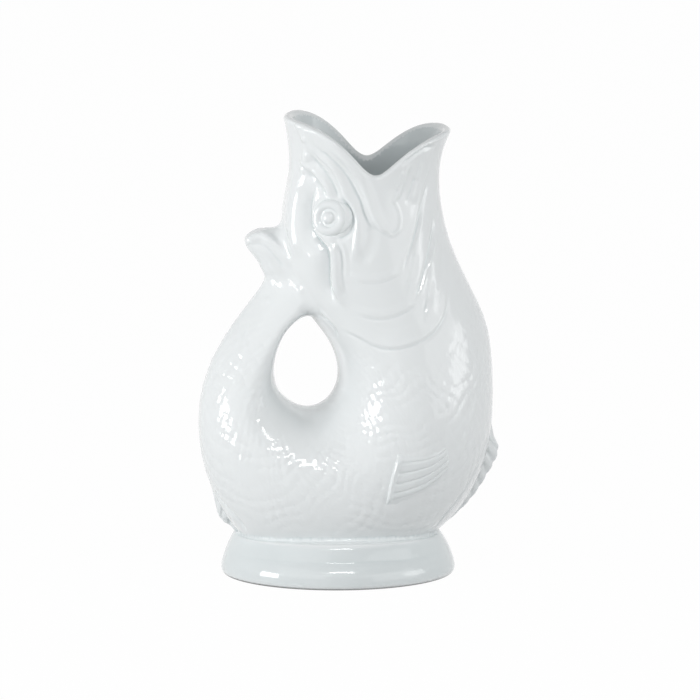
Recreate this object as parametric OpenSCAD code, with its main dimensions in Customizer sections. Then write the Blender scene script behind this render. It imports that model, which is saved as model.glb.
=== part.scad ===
// Gurgle jug: a fish that stands on a round foot, mouth upward, with its tail
// curled up behind its head as the handle. Millimetres, +Z up, +X towards the
// pouring lip, origin at the centre of the foot on the table.

/* [Body] */
// Height from the table to the tip of the upper lip
jug_height = 246; // [200:1:300]
// Length of the fish from the back of the tail to the front of the belly
body_length = 156; // [130:1:190]
// Width of the belly from side to side
body_width = 106; // [88:1:128]
// Thickness of the fired wall
wall = 5; // [3.5:0.1:6]
// Clay left between the end of the tail's hollow and the back of the head
tail_stop = 7; // [4:0.5:12]

/* [Foot] */
// Height of the foot up to the crease under the belly
foot_height = 21.8; // [17:0.1:28]
// Largest diameter of the foot
foot_diameter = 124; // [112:1:140]
// Width of the shoulder that shows round the belly
foot_shoulder = 2.6; // [1.5:0.1:5]
// Width of the land inside the foot that the belly wall stands on
foot_land = 8; // [5:0.5:12]
// Height of the straight neck inside the top of the foot
foot_throat = 3; // [1:0.5:6]
// Diameter of the slab that closes the foot
floor_diameter = 102; // [86:1:108]
// Thickness of that slab
floor_thickness = 6; // [4:0.5:9]
// Width of the ledge in the foot that the slab is pressed up against
floor_ledge = 3; // [1.5:0.5:5]

/* [Face] */
// Diameter of the socket ring round each eye, as a share of body_length
eye_share = 0.135; // [0.1:0.005:0.14]
// Height of the eye's ring above the head
eye_height = 2.6; // [1.5:0.1:4]
// Height of the jaw plates above the head
jaw_height = 2; // [1:0.1:3.5]
// Height of the rolled folds of the brow, cheek and throat
fold_height = 1.7; // [0.8:0.1:3]
// Height of the gill covers' edge above the body
gill_height = 1.8; // [1:0.1:3]

/* [Fins] */
// How far the belly fin stands out of the belly
belly_fin_height = 7.5; // [5:0.5:11]
// Thickness of the belly fin at its root
belly_fin_thickness = 9; // [5:0.5:13]
// How far the anal fin stands out of the tail root
anal_fin_height = 4.5; // [3:0.5:8]
// Thickness of the anal fin at its root
anal_fin_thickness = 8; // [5:0.5:12]
// Thickness of the tail fin
tail_fin_thickness = 19; // [12:0.5:26]
// Height of the pectoral fins above the body
pectoral_height = 2.4; // [1:0.1:4]

/* [Hidden] */
$fn = 48;

glaze = "#e4e9e8";
glaze_shade = "#d3dad9";
bare_clay = "#ded6c8";

// Air left round the slab in its seat
seat_gap = 0.15;
// How deep a luted piece starts below the skin before it is cut to it
sprig_root = 1.2;
// Points round a section of the body, rings per row of the body, rings of the head
sides = 36;
rings_per_row = 2;
head_rings = 11;
// Points round the foot
foot_sides = 48;

// The body is drawn through rows that follow the fish from above its mouth,
// down the head, round the belly and up the tail. A row is a slanted section:
// x and z of its back edge, x and z of its belly edge, and its half width, as
// shares of body_length, jug_height and body_width.
body_row_shares = [
    [-0.207, 1.047, 0.456, 1.047, 0.443],
    [-0.181, 0.987, 0.402, 0.987, 0.396],
    [-0.164, 0.921, 0.350, 0.921, 0.330],
    [-0.167, 0.860, 0.341, 0.851, 0.311],
    [-0.187, 0.789, 0.353, 0.785, 0.335],
    [-0.210, 0.714, 0.381, 0.712, 0.363],
    [-0.174, 0.636, 0.442, 0.630, 0.387],
    [-0.104, 0.567, 0.510, 0.544, 0.410],
    [-0.039, 0.509, 0.526, 0.458, 0.453],
    [-0.005, 0.467, 0.526, 0.370, 0.486],
    [0.002, 0.433, 0.520, 0.278, 0.500],
    [-0.007, 0.402, 0.459, 0.172, 0.500],
    [-0.034, 0.374, 0.320, 0.068, 0.486],
    [-0.082, 0.357, 0.116, 0.020, 0.472],
    [-0.133, 0.361, -0.112, 0.011, 0.453],
    [-0.177, 0.379, -0.300, 0.050, 0.410],
    [-0.207, 0.399, -0.423, 0.155, 0.344],
    [-0.219, 0.429, -0.480, 0.286, 0.278],
    [-0.216, 0.464, -0.475, 0.392, 0.222],
    [-0.197, 0.499, -0.418, 0.490, 0.175],
    [-0.161, 0.531, -0.328, 0.572, 0.142],
    [-0.109, 0.559, -0.245, 0.638, 0.123],
    [-0.040, 0.581, -0.184, 0.703, 0.113]
];
last_row = len(body_row_shares) - 1;

// Places along the body, counted in rows
upper_lip_row_share = 0.95;
lower_lip_row_share = 1.42;
notch_row_share = 2.66;
gill_row_share = 7;
tail_row_share = 16.5;
seat_row_shares = [9, 17];
// Stretches of the body below the head that luted pieces are cut to
chest_row_shares = [gill_row_share, 9.5];
flank_row_shares = [8, 14.5];
tail_root_row_shares = [13, 18];

// Step along or across the skin that its slope is read over
probe_share = 0.05;

// Where the notch of the mouth lies across the head, and how round it is
notch_across_share = 0.1;
notch_round_share = 0.16;

// Cubic curve through four neighbouring rows
function weights(t) =
    [
        pow(1 - t, 3),
        3 * pow(t, 3) - 6 * pow(t, 2) + 4,
        -3 * pow(t, 3) + 3 * pow(t, 2) + 3 * t + 1,
        pow(t, 3)
    ] / 6;

// A row of an open table, run on in a straight line past either end
function open_row(rows, i) =
    i < 0 ? 2 * rows[0] - rows[1]
    : i >= len(rows) ? 2 * rows[len(rows) - 1] - rows[len(rows) - 2]
    : rows[i];

function along(rows, s) =
    let (i = max(0, min(floor(s), len(rows) - 2)))
    weights(s - i) * [for (k = [i - 1 : i + 2]) open_row(rows, k)];

// A point on the body's skin, or grown out of it or into it
function body_point(s, angle, grow = 0) =
    let (
        r = along(body_row_shares, s),
        back = [r[0] * body_length, r[1] * jug_height],
        front = [r[2] * body_length, r[3] * jug_height],
        half = norm(front - back) / 2,
        place = (back + front) / 2 + (front - back) / (2 * half) * (half + grow) * cos(angle)
    )
    [place[0], (r[4] * body_width + grow) * sin(angle), place[1]];

// The same point, given by how far across the side it lies, from -1 at the
// back edge to 1 at the belly edge; side is 1 on the left and -1 on the right
function skin_point(s, across, side, grow = 0) =
    body_point(s, side * acos(max(-1, min(1, across))), grow);

function steps(from, to, count) = [for (k = [0 : count]) from + (to - from) * k / count];
function rows_between(from, to) = steps(from, to, ceil((to - from) * rings_per_row));
function reversed(list) = [for (k = [len(list) - 1 : -1 : 0]) list[k]];

function body_ring(s, grow = 0) = [for (k = [0 : sides - 1]) body_point(s, 360 * k / sides, grow)];

// The rim dips in a rounded notch on each side, between the two lips
function rim_row(angle) =
    let (
        off = cos(angle) - notch_across_share,
        lip = off < 0 ? upper_lip_row_share : lower_lip_row_share,
        run = off < 0 ? -off / (1 + notch_across_share) : off / (1 - notch_across_share),
        soft = notch_round_share,
        rise = (sqrt(pow(run, 2) + pow(soft, 2)) - soft) / (sqrt(1 + pow(soft, 2)) - soft)
    )
    notch_row_share + (lip - notch_row_share) * sin(90 * rise);

// Rings of the head stretch from the rim at share 0 to the gills at share 1
function head_ring(share, grow) =
    [for (k = [0 : sides - 1])
        let (angle = 360 * k / sides, top = rim_row(angle))
        body_point(top + (gill_row_share - top) * share, angle, grow)];

// The rounded edge of the rim, from the outside over the top to the inside
lip_rise = wall / 2;
row_pitch = (body_row_shares[1][1] - body_row_shares[2][1]) * jug_height;
lip_turns = [0, 45, 90, 135, 180];
function lip_ring(turn) =
    [for (k = [0 : sides - 1])
        let (angle = 360 * k / sides)
        body_point(rim_row(angle) - lip_rise * sin(turn) / row_pitch, angle, lip_rise * (cos(turn) - 1))];

// The end of a skin, closed like a ladder between the two sides of its ring
function end_faces(base, n, turned) =
    [for (k = [0 : floor(n / 2) - 2])
        let (a = base + k, b = base + k + 1, c = base + n - 2 - k, d = base + n - 1 - k)
        each turned ? [[c, b, a], [d, c, a]] : [[a, b, c], [a, c, d]]];

// A closed skin through rings of equal, even count, with ends or end to end
module skin(rings, looped = false) {
    count = len(rings);
    n = len(rings[0]);
    walls = [for (i = [0 : count - (looped ? 1 : 2)], k = [0 : n - 1])
        let (j = (i + 1) % count, m = (k + 1) % n)
        each [[i * n + k, i * n + m, j * n + m], [i * n + k, j * n + m, j * n + k]]];
    ends = concat(end_faces(0, n, true), end_faces((count - 1) * n, n, false));
    polyhedron(
        points = [for (r = rings) each r],
        faces = looped ? walls : concat(walls, ends),
        convexity = 8
    );
}

// The body as one filled solid between two rows
module body_core(rows) skin([for (s = rows_between(rows[0], rows[1])) body_ring(s)]);

// Where the belly meets the foot: the section of the body at the crease
seat_samples = 64;
seat_grid = [for (s = steps(seat_row_shares[0], seat_row_shares[1], seat_samples)) body_ring(s)];
seat_points = [for (r = seat_grid, k = [0 : sides - 1])
    let (a = r[k], b = r[(k + 1) % sides])
    if ((a[2] - foot_height) * (b[2] - foot_height) <= 0 && a[2] != b[2])
        a + (b - a) * (foot_height - a[2]) / (b[2] - a[2])];
seat_x = [for (p = seat_points) p[0]];
seat_y = [for (p = seat_points) p[1]];
seat_middle = (max(seat_x) + min(seat_x)) / 2;
seat_length = (max(seat_x) - min(seat_x)) / 2;
seat_width = max(seat_y);

// Outside of the foot from the crease down: share of the height, and shares
// of the way out from the crease to the widest ring, lengthwise and sideways
foot_flare_shares = [
    [1, 0, 0], [0.93, 0.24, 0.36], [0.82, 0.45, 0.6], [0.65, 0.68, 0.78],
    [0.45, 0.87, 0.92], [0.24, 1, 1], [0.12, 0.98, 0.985], [0.04, 0.93, 0.95], [0, 0.86, 0.9]
];
foot_radius = foot_diameter / 2;
floor_radius = floor_diameter / 2;

function foot_ring(x, width, length, z) =
    [for (k = [0 : foot_sides - 1])
        let (a = 360 * k / foot_sides)
        [x + length * cos(a), width * sin(a), z]];

function between(a, b, share) = a + (b - a) * share;

function foot_outside() =
    [for (f = foot_flare_shares)
        foot_ring(
            between(seat_middle, 0, f[1]),
            between(seat_width + foot_shoulder, foot_radius, f[2]),
            between(seat_length + foot_shoulder, foot_radius, f[1]),
            f[0] * foot_height)];

// Inside of the foot: the seat of the slab, its ledge, then up to the land
foot_hollow_shares = [0, 0.35, 0.7];
function foot_inside() = concat(
    [for (seat = [[floor_radius + seat_gap, 0], [floor_radius + seat_gap, floor_thickness]])
        foot_ring(0, seat[0], seat[0], seat[1])],
    [for (share = concat(foot_hollow_shares, [1]))
        foot_ring(
            between(0, seat_middle, share),
            between(floor_radius - floor_ledge, seat_width - foot_land, share),
            between(floor_radius - floor_ledge, seat_length - foot_land, share),
            between(floor_thickness, foot_height - foot_throat, share))],
    [foot_ring(seat_middle, seat_width - foot_land, seat_length - foot_land, foot_height)]
);

module foot() {
    color(glaze) skin(concat(foot_outside(), foot_inside()), looped = true);
}

module floor_slab() {
    color(bare_clay) cylinder(r = floor_radius, h = floor_thickness);
}

module belly() {
    rows = rows_between(gill_row_share, tail_row_share);
    reach = jug_height + body_length;
    color(glaze) difference() {
        skin(
            concat([for (s = rows) body_ring(s)], [for (s = reversed(rows)) body_ring(s, -wall)]),
            looped = true);
        translate([-reach / 2, -reach / 2, foot_height - reach]) cube(reach);
    }
}

head_ring_shares = steps(0, 1, head_rings);
function head_skin(grow) = [for (f = head_ring_shares) if (f > 0) head_ring(f, grow)];

module head() {
    color(glaze) skin(
        concat(head_skin(0), reversed(head_skin(-wall)), [for (t = reversed(lip_turns)) lip_ring(t)]),
        looped = true);
}

// The head and chest as filled solids, which the pieces luted to them are cut to
module head_core() skin(concat([head_ring(0, 0)], head_skin(0)));
module chest_core() body_core(chest_row_shares);

// The tail is open to the belly at its root and closed before the head
function row_middle(s) = (body_point(s, 0) + body_point(s, 180)) / 2;
tail_meets_head_row_share = last_row - 1;
tail_pitch = norm(row_middle(last_row) - row_middle(tail_meets_head_row_share));
tail_stop_row = tail_meets_head_row_share - tail_stop / tail_pitch;

module tail_core() body_core([tail_row_share, last_row]);

module tail_handle() {
    color(glaze) difference() {
        skin(concat(
            [for (s = reversed(rows_between(tail_row_share, tail_stop_row))) body_ring(s, -wall)],
            [for (s = rows_between(tail_row_share, last_row)) body_ring(s)]));
        head_core();
        chest_core();
    }
}

// Side outline of the tail fin behind the head, as shares of body_length and jug_height
tail_fin_shares = [
    [-0.328, 0.730], [-0.275, 0.750], [-0.225, 0.757], [-0.180, 0.748], [-0.130, 0.690],
    [-0.143, 0.615], [-0.210, 0.612], [-0.253, 0.650], [-0.274, 0.684], [-0.307, 0.708]
];
// Share of the half thickness, and how far the outline is drawn in there
fin_edge_shares = [[-1, 0.6], [-0.85, 0.8], [-0.5, 0.95], [0, 1], [0.5, 0.95], [0.85, 0.8], [1, 0.6]];
curve_steps = 4;

function closed_curve(points) =
    let (n = len(points))
    [for (i = [0 : n - 1], k = [0 : curve_steps - 1])
        weights(k / curve_steps) * [for (j = [i - 1 : i + 2]) points[(j + n) % n]]];

function mean(points) = [for (p = points) 1] * points / len(points);

module tail_fin() {
    edge = [for (p = closed_curve(tail_fin_shares)) [p[0] * body_length, p[1] * jug_height]];
    middle = mean(edge);
    color(glaze_shade) difference() {
        skin([for (f = fin_edge_shares)
            [for (p = edge)
                let (q = between(middle, p, f[1]))
                [q[0], f[0] * tail_fin_thickness / 2, q[1]]]]);
        head_core();
        chest_core();
        tail_core();
    }
}

// A ribbed fin that stands on the belly edge between two rows. Its height runs
// from nothing to full and back, and its ribs swell its sides and its edge.
fin_section_shares = [
    [0, 1], [0.45, 0.8], [0.8, 0.52], [1, 0.2], [1, -0.2], [0.8, -0.52], [0.45, -0.8], [0, -1]
];
rib_swell_share = 0.16;
rib_wave_share = 0.05;
fin_skew_share = 0.62;
fin_end_share = 0.06;

function edge_point(s) = body_point(s, 0);
function edge_out(s) =
    let (
        run = edge_point(s + probe_share) - edge_point(s - probe_share),
        out = [-run[2], 0, run[0]]
    )
    out / norm(out);

module edge_fin(from, to, height, thickness, ribs, rings_per_rib) {
    skin([for (t = steps(0, 1, ribs * rings_per_rib))
        let (
            s = between(from, to, t),
            swell = cos(360 * ribs * t),
            crown = max(fin_end_share, sin(180 * pow(t, fin_skew_share))),
            rise = height * crown * (1 + rib_wave_share * swell),
            half = thickness / 2 * (1 + rib_swell_share * swell)
        )
        [for (f = reversed(fin_section_shares))
            let (lift = (rise + sprig_root) * f[0] - sprig_root)
            edge_point(s) + edge_out(s) * lift + [0, half * f[1], 0]]]);
}

belly_fin_row_shares = [9.4, 12.1];
belly_fin_ribs = 8;
anal_fin_row_shares = [14.9, 16.45];
anal_fin_ribs = 4;
rib_rings = 3;

module belly_fin() {
    color(glaze_shade) difference() {
        edge_fin(belly_fin_row_shares[0], belly_fin_row_shares[1],
            belly_fin_height, belly_fin_thickness, belly_fin_ribs, rib_rings);
        body_core(flank_row_shares);
        foot_blank();
    }
}

module anal_fin() {
    color(glaze_shade) difference() {
        edge_fin(anal_fin_row_shares[0], anal_fin_row_shares[1],
            anal_fin_height, anal_fin_thickness, anal_fin_ribs, rib_rings);
        body_core(tail_root_row_shares);
        foot_blank();
    }
}

// The foot and all below it, which the fins above are cut to
module foot_blank() skin(foot_outside());

// A luted piece on the side of the body, drawn through pairs of edge points:
// row and place across of one edge, the same of the other, and share of height
jaw_plate_shares = [
    [1.25, -0.76, 1.35, -0.78, 0.3],
    [1.45, -0.6, 1.7, -0.63, 0.7],
    [1.9, -0.37, 2.12, -0.44, 0.9],
    [2.4, -0.13, 2.5, -0.24, 1],
    [2.75, 0.07, 2.82, -0.1, 1],
    [3.05, 0.2, 3.2, -0.03, 1],
    [3.45, 0.33, 3.6, 0.03, 1],
    [3.9, 0.43, 4, 0.11, 1],
    [4.3, 0.42, 4.35, 0.19, 0.9],
    [4.5, 0.33, 4.5, 0.28, 0.5]
];
brow_fold_shares = [
    [1.85, -0.68, 1.95, -0.73, 0.4],
    [2.3, -0.5, 2.45, -0.57, 0.8],
    [2.72, -0.35, 2.83, -0.43, 1],
    [3.15, -0.22, 3.25, -0.31, 1],
    [3.62, -0.1, 3.7, -0.19, 1],
    [4.2, -0.07, 4.2, -0.16, 1],
    [4.8, -0.12, 4.8, -0.17, 0.5]
];
cheek_fold_shares = [
    [4.3, -0.66, 4.38, -0.69, 0.4],
    [4.56, -0.48, 4.7, -0.54, 0.8],
    [4.9, -0.38, 4.95, -0.47, 1],
    [5.3, -0.41, 5.3, -0.5, 1],
    [5.7, -0.48, 5.72, -0.57, 1],
    [6, -0.53, 6.05, -0.58, 0.4]
];
throat_fold_shares = [
    [2.25, 0.92, 2.2, 0.87, 0.4],
    [2.93, 0.89, 2.8, 0.79, 0.8],
    [3.53, 0.79, 3.4, 0.68, 1],
    [4.1, 0.67, 3.98, 0.56, 1],
    [4.7, 0.53, 4.6, 0.44, 0.8],
    [5.2, 0.37, 5.17, 0.33, 0.3]
];
gill_cover_shares = [
    [6.85, -0.84, 7.2, -0.84, 0.4],
    [6.5, -0.75, 7.5, -0.76, 0.9],
    [6.2, -0.52, 7.6, -0.52, 1],
    [6, -0.2, 7.58, -0.18, 1],
    [5.85, 0.1, 7.35, 0.18, 1],
    [5.75, 0.36, 6.95, 0.46, 0.9],
    [5.65, 0.56, 6.4, 0.64, 0.7],
    [5.75, 0.7, 5.95, 0.71, 0.3]
];
pectoral_shares = [
    [11.15, -0.14, 12.15, 0.18, 0.6],
    [11.12, -0.1, 12.18, 0.23, 1],
    [11, 0, 12.05, 0.28, 0.8],
    [10.75, 0.15, 11.6, 0.37, 0.7],
    [10.4, 0.32, 11.1, 0.46, 0.6],
    [10.2, 0.42, 10.7, 0.5, 0.4]
];
// Share of the way across a luted piece, and share of its height there
round_profile_shares = [[0, 0.25], [0.1, 0.7], [0.3, 0.96], [0.5, 1], [0.7, 0.96], [0.9, 0.7], [1, 0.25]];
cover_profile_shares = [[0, 0.06], [0.35, 0.4], [0.7, 0.85], [0.9, 1], [0.97, 0.8], [1, 0.3]];
sprig_steps = 2;

function pair_point(pair, share, side, grow) =
    skin_point(between(pair[0], pair[2], share), between(pair[1], pair[3], share), side, grow);

// What carries the piece is given as its child
module sprig(pairs, profile, height, side) {
    top = side > 0 ? profile : reversed(profile);
    color(glaze_shade) difference() {
        skin([for (t = steps(0, len(pairs) - 1, (len(pairs) - 1) * sprig_steps))
            let (pair = along(pairs, t))
            concat(
                [for (f = top) pair_point(pair, f[0], side, height * pair[4] * f[1])],
                [for (f = reversed(top)) pair_point(pair, f[0], side, -sprig_root)])]);
        children();
    }
}

module jaw_plate(side)
    sprig(jaw_plate_shares, round_profile_shares, jaw_height, side) head_core();
module brow_fold(side)
    sprig(brow_fold_shares, round_profile_shares, fold_height, side) head_core();
module cheek_fold(side)
    sprig(cheek_fold_shares, round_profile_shares, fold_height, side) head_core();
module throat_fold(side)
    sprig(throat_fold_shares, round_profile_shares, fold_height, side) head_core();
module gill_cover(side)
    sprig(gill_cover_shares, cover_profile_shares, gill_height, side) {
        head_core();
        chest_core();
    }
module pectoral_fin(side)
    sprig(pectoral_shares, round_profile_shares, pectoral_height, side) body_core(flank_row_shares);

// An eye: a domed pupil inside two rings, turned about the line out of the head
eye_diameter = eye_share * body_length;
eye_place_shares = [3.85, -0.45];
eye_turn_shares = [
    [0, 1.15], [0.14, 1.1], [0.26, 0.92], [0.33, 0.62], [0.4, 0.55], [0.5, 0.8], [0.58, 0.86],
    [0.66, 0.78], [0.73, 0.5], [0.8, 0.62], [0.88, 0.8], [0.95, 0.7], [1, 0.35]
];
eye_sink = 4;

module eye(side) {
    s = eye_place_shares[0];
    across = eye_place_shares[1];
    place = skin_point(s, across, side);
    down = skin_point(s + probe_share, across, side) - skin_point(s - probe_share, across, side);
    fore = skin_point(s, across + probe_share, side) - skin_point(s, across - probe_share, side);
    out = -side * cross(down, fore);
    w = out / norm(out);
    u = down / norm(down);
    v = cross(w, u);
    color(glaze_shade) difference() {
        multmatrix([
            [u[0], v[0], w[0], place[0]],
            [u[1], v[1], w[1], place[1]],
            [u[2], v[2], w[2], place[2]],
            [0, 0, 0, 1]
        ]) rotate_extrude() polygon(concat(
            [for (f = eye_turn_shares) [f[0] * eye_diameter / 2, f[1] * eye_height]],
            [[eye_diameter / 2, -eye_sink], [0, -eye_sink]]));
        head_core();
    }
}

module right_eye() eye(-1);
module left_eye() eye(1);
module right_jaw_plate() jaw_plate(-1);
module left_jaw_plate() jaw_plate(1);
module right_brow_fold() brow_fold(-1);
module left_brow_fold() brow_fold(1);
module right_cheek_fold() cheek_fold(-1);
module left_cheek_fold() cheek_fold(1);
module right_throat_fold() throat_fold(-1);
module left_throat_fold() throat_fold(1);
module right_gill_cover() gill_cover(-1);
module left_gill_cover() gill_cover(1);
module right_pectoral_fin() pectoral_fin(-1);
module left_pectoral_fin() pectoral_fin(1);

foot();
floor_slab();
belly();
head();
tail_handle();
tail_fin();
belly_fin();
anal_fin();
right_eye();
left_eye();
right_jaw_plate();
left_jaw_plate();
right_brow_fold();
left_brow_fold();
right_cheek_fold();
left_cheek_fold();
right_throat_fold();
left_throat_fold();
right_gill_cover();
left_gill_cover();
right_pectoral_fin();
left_pectoral_fin();
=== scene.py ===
"""Dresses the packed clay parts of a fish-shaped gurgle jug.

The head, belly, tail and foot show as one skin of glazed clay. That skin is lofted through the
rows of the fish, joined with soft fillets, pressed with folds, creases and scales, and cut apart
again where the clay parts meet. The eyes and the fins are pieces of their own.
"""

import math

import bmesh
import bpy
import numpy as np
from bpy.props import FloatProperty, FloatVectorProperty, PointerProperty
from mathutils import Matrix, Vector
from mathutils.bvhtree import BVHTree
from mathutils.kdtree import KDTree


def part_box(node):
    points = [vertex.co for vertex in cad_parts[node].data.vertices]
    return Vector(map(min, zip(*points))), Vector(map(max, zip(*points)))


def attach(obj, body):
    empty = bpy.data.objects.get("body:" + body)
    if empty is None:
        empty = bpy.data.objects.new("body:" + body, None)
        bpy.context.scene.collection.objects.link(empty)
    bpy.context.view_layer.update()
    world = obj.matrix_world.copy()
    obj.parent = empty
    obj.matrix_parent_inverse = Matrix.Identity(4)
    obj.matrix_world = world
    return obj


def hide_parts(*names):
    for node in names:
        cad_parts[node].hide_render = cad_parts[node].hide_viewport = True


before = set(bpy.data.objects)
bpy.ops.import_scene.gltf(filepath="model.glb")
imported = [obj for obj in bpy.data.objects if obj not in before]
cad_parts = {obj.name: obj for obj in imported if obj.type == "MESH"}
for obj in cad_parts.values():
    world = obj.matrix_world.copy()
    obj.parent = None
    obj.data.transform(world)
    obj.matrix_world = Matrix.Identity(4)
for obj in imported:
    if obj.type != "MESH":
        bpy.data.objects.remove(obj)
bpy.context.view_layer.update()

bl_info = {
    "name": "Gurgle Jug",
    "version": (1, 0, 0),
    "blender": (4, 5, 0),
    "location": "3D View > Sidebar > Jug",
    "description": "Dresses the clay parts of a fish-shaped pouring jug in white glaze",
    "category": "Object",
}

MM = 0.001
FULL_TURN = 2 * math.pi

# Rows of the fish from above its mouth, down the belly and up the tail: back x, back z,
# belly x, belly z and half width, as shares of body length, height and body width
FISH_ROWS = np.array([
    (-0.207, 1.047, 0.456, 1.047, 0.443), (-0.181, 0.987, 0.402, 0.987, 0.396),
    (-0.164, 0.921, 0.350, 0.921, 0.330), (-0.167, 0.860, 0.341, 0.851, 0.311),
    (-0.187, 0.789, 0.353, 0.785, 0.335), (-0.210, 0.714, 0.381, 0.712, 0.363),
    (-0.174, 0.636, 0.442, 0.630, 0.387), (-0.104, 0.567, 0.510, 0.544, 0.410),
    (-0.032, 0.512, 0.526, 0.458, 0.453), (-0.005, 0.467, 0.526, 0.370, 0.486),
    (0.002, 0.433, 0.520, 0.278, 0.500), (-0.007, 0.402, 0.459, 0.172, 0.500),
    (-0.034, 0.374, 0.320, 0.068, 0.486), (-0.082, 0.357, 0.116, 0.020, 0.472),
    (-0.133, 0.361, -0.112, 0.011, 0.453), (-0.177, 0.379, -0.300, 0.050, 0.410),
    (-0.207, 0.399, -0.423, 0.155, 0.344), (-0.219, 0.429, -0.480, 0.286, 0.278),
    (-0.222, 0.465, -0.475, 0.392, 0.222), (-0.211, 0.503, -0.418, 0.490, 0.187),
    (-0.181, 0.542, -0.328, 0.572, 0.166), (-0.124, 0.571, -0.245, 0.638, 0.165),
    (-0.055, 0.592, -0.184, 0.703, 0.165),
])
# Rows where the parts of the fish begin and end, and the rows that a cut part can't pass
GILL_ROW = 7.0
HEAD_CUT_ROW = 7.9
HEAD_LAST_ROW = 11
CUT_REACH = 1.2
UNDERSIDE_ROWS = (9, 18)
TAIL_FIRST_ROW = 15.3
TAIL_CUT_ROW = 16.5
HOLLOW_END_ROW = 20.2
TAIL_REACH_ROW = 20.4
TAIL_AIM_ROW = 22.0
# How much fuller and wider the tail gets on its side towards the handle's hole, and over which rows
TAIL_END_FULL = 2.3
TAIL_FULL_ROWS = (16.5, 19.5)
TAIL_LEAN = 0.36
TAIL_LEAN_ROWS = (16.5, 20)
# Lowest that the belly's outside, the middle of its wall and its inside reach, over the slab
OUTSIDE_LOW = 7.2 * MM
MIDDLE_LOW = 8.3 * MM
INSIDE_LOW = 9.8 * MM
# Fillets, in rings of edges, and how much of them is left near the jug's middle plane
FILLET_RINGS = 10
FILLET_LEAST = 0.2
FILLET_FROM_MIDDLE = (4 * MM, 13 * MM)
FOOT_FILLET = 6 * MM
TRIANGLES_KEPT = 185000
SMALL_PATCH = 1500
MOST_LOOP_GAP = 9 * MM
LEAST_WALL_LOOP = 40

# How much of each driving size the frame's solids reach
LIP_TOP_SHARE = 0.99874
TAIL_BACK_SHARE = 0.47513
BELLY_WIDE_SHARE = 0.99887

# The mouth's edge: rows of the upper and lower lip and of the notch between them
UPPER_LIP_ROW = 0.95
LOWER_LIP_ROW = 1.42
NOTCH_ROW = 2.66
NOTCH_ACROSS = 0.1
NOTCH_SOFT = 0.16

# Outline of the tail fin, seen from the side
FLUKE_OUTLINE = np.array([
    (-0.328, 0.730), (-0.275, 0.750), (-0.225, 0.757), (-0.180, 0.748), (-0.130, 0.690),
    (-0.143, 0.615), (-0.210, 0.612), (-0.253, 0.650), (-0.274, 0.684), (-0.307, 0.708),
])

# Flare of the foot from its seat down: height share, way out lengthwise and sideways
FOOT_FLARE = (
    (1, 0, 0), (0.9958, 0.013, 0.13), (0.9896, 0.033, 0.28), (0.9792, 0.063, 0.394),
    (0.9583, 0.115, 0.422), (0.9333, 0.165, 0.448), (0.9, 0.222, 0.477), (0.8583, 0.289, 0.504),
    (0.8083, 0.366, 0.532), (0.7333, 0.472, 0.571), (0.6583, 0.57, 0.608), (0.6125, 0.625, 0.631),
    (0.5833, 0.66, 0.656), (0.5417, 0.706, 0.695), (0.5, 0.75, 0.739), (0.45, 0.8, 0.784),
    (0.4, 0.846, 0.822), (0.35, 0.888, 0.853), (0.3, 0.926, 0.8715), (0.25, 0.956, 0.882),
    (0.1917, 0.982, 0.89), (0.1333, 0.992, 0.892), (0.0917, 0.978, 0.886), (0.0667, 0.957, 0.878),
    (0.0375, 0.917, 0.815), (0.0146, 0.864, 0.758), (0, 0.8, 0.68),
)
SEAT_RISE = 2.2 * MM

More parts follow.
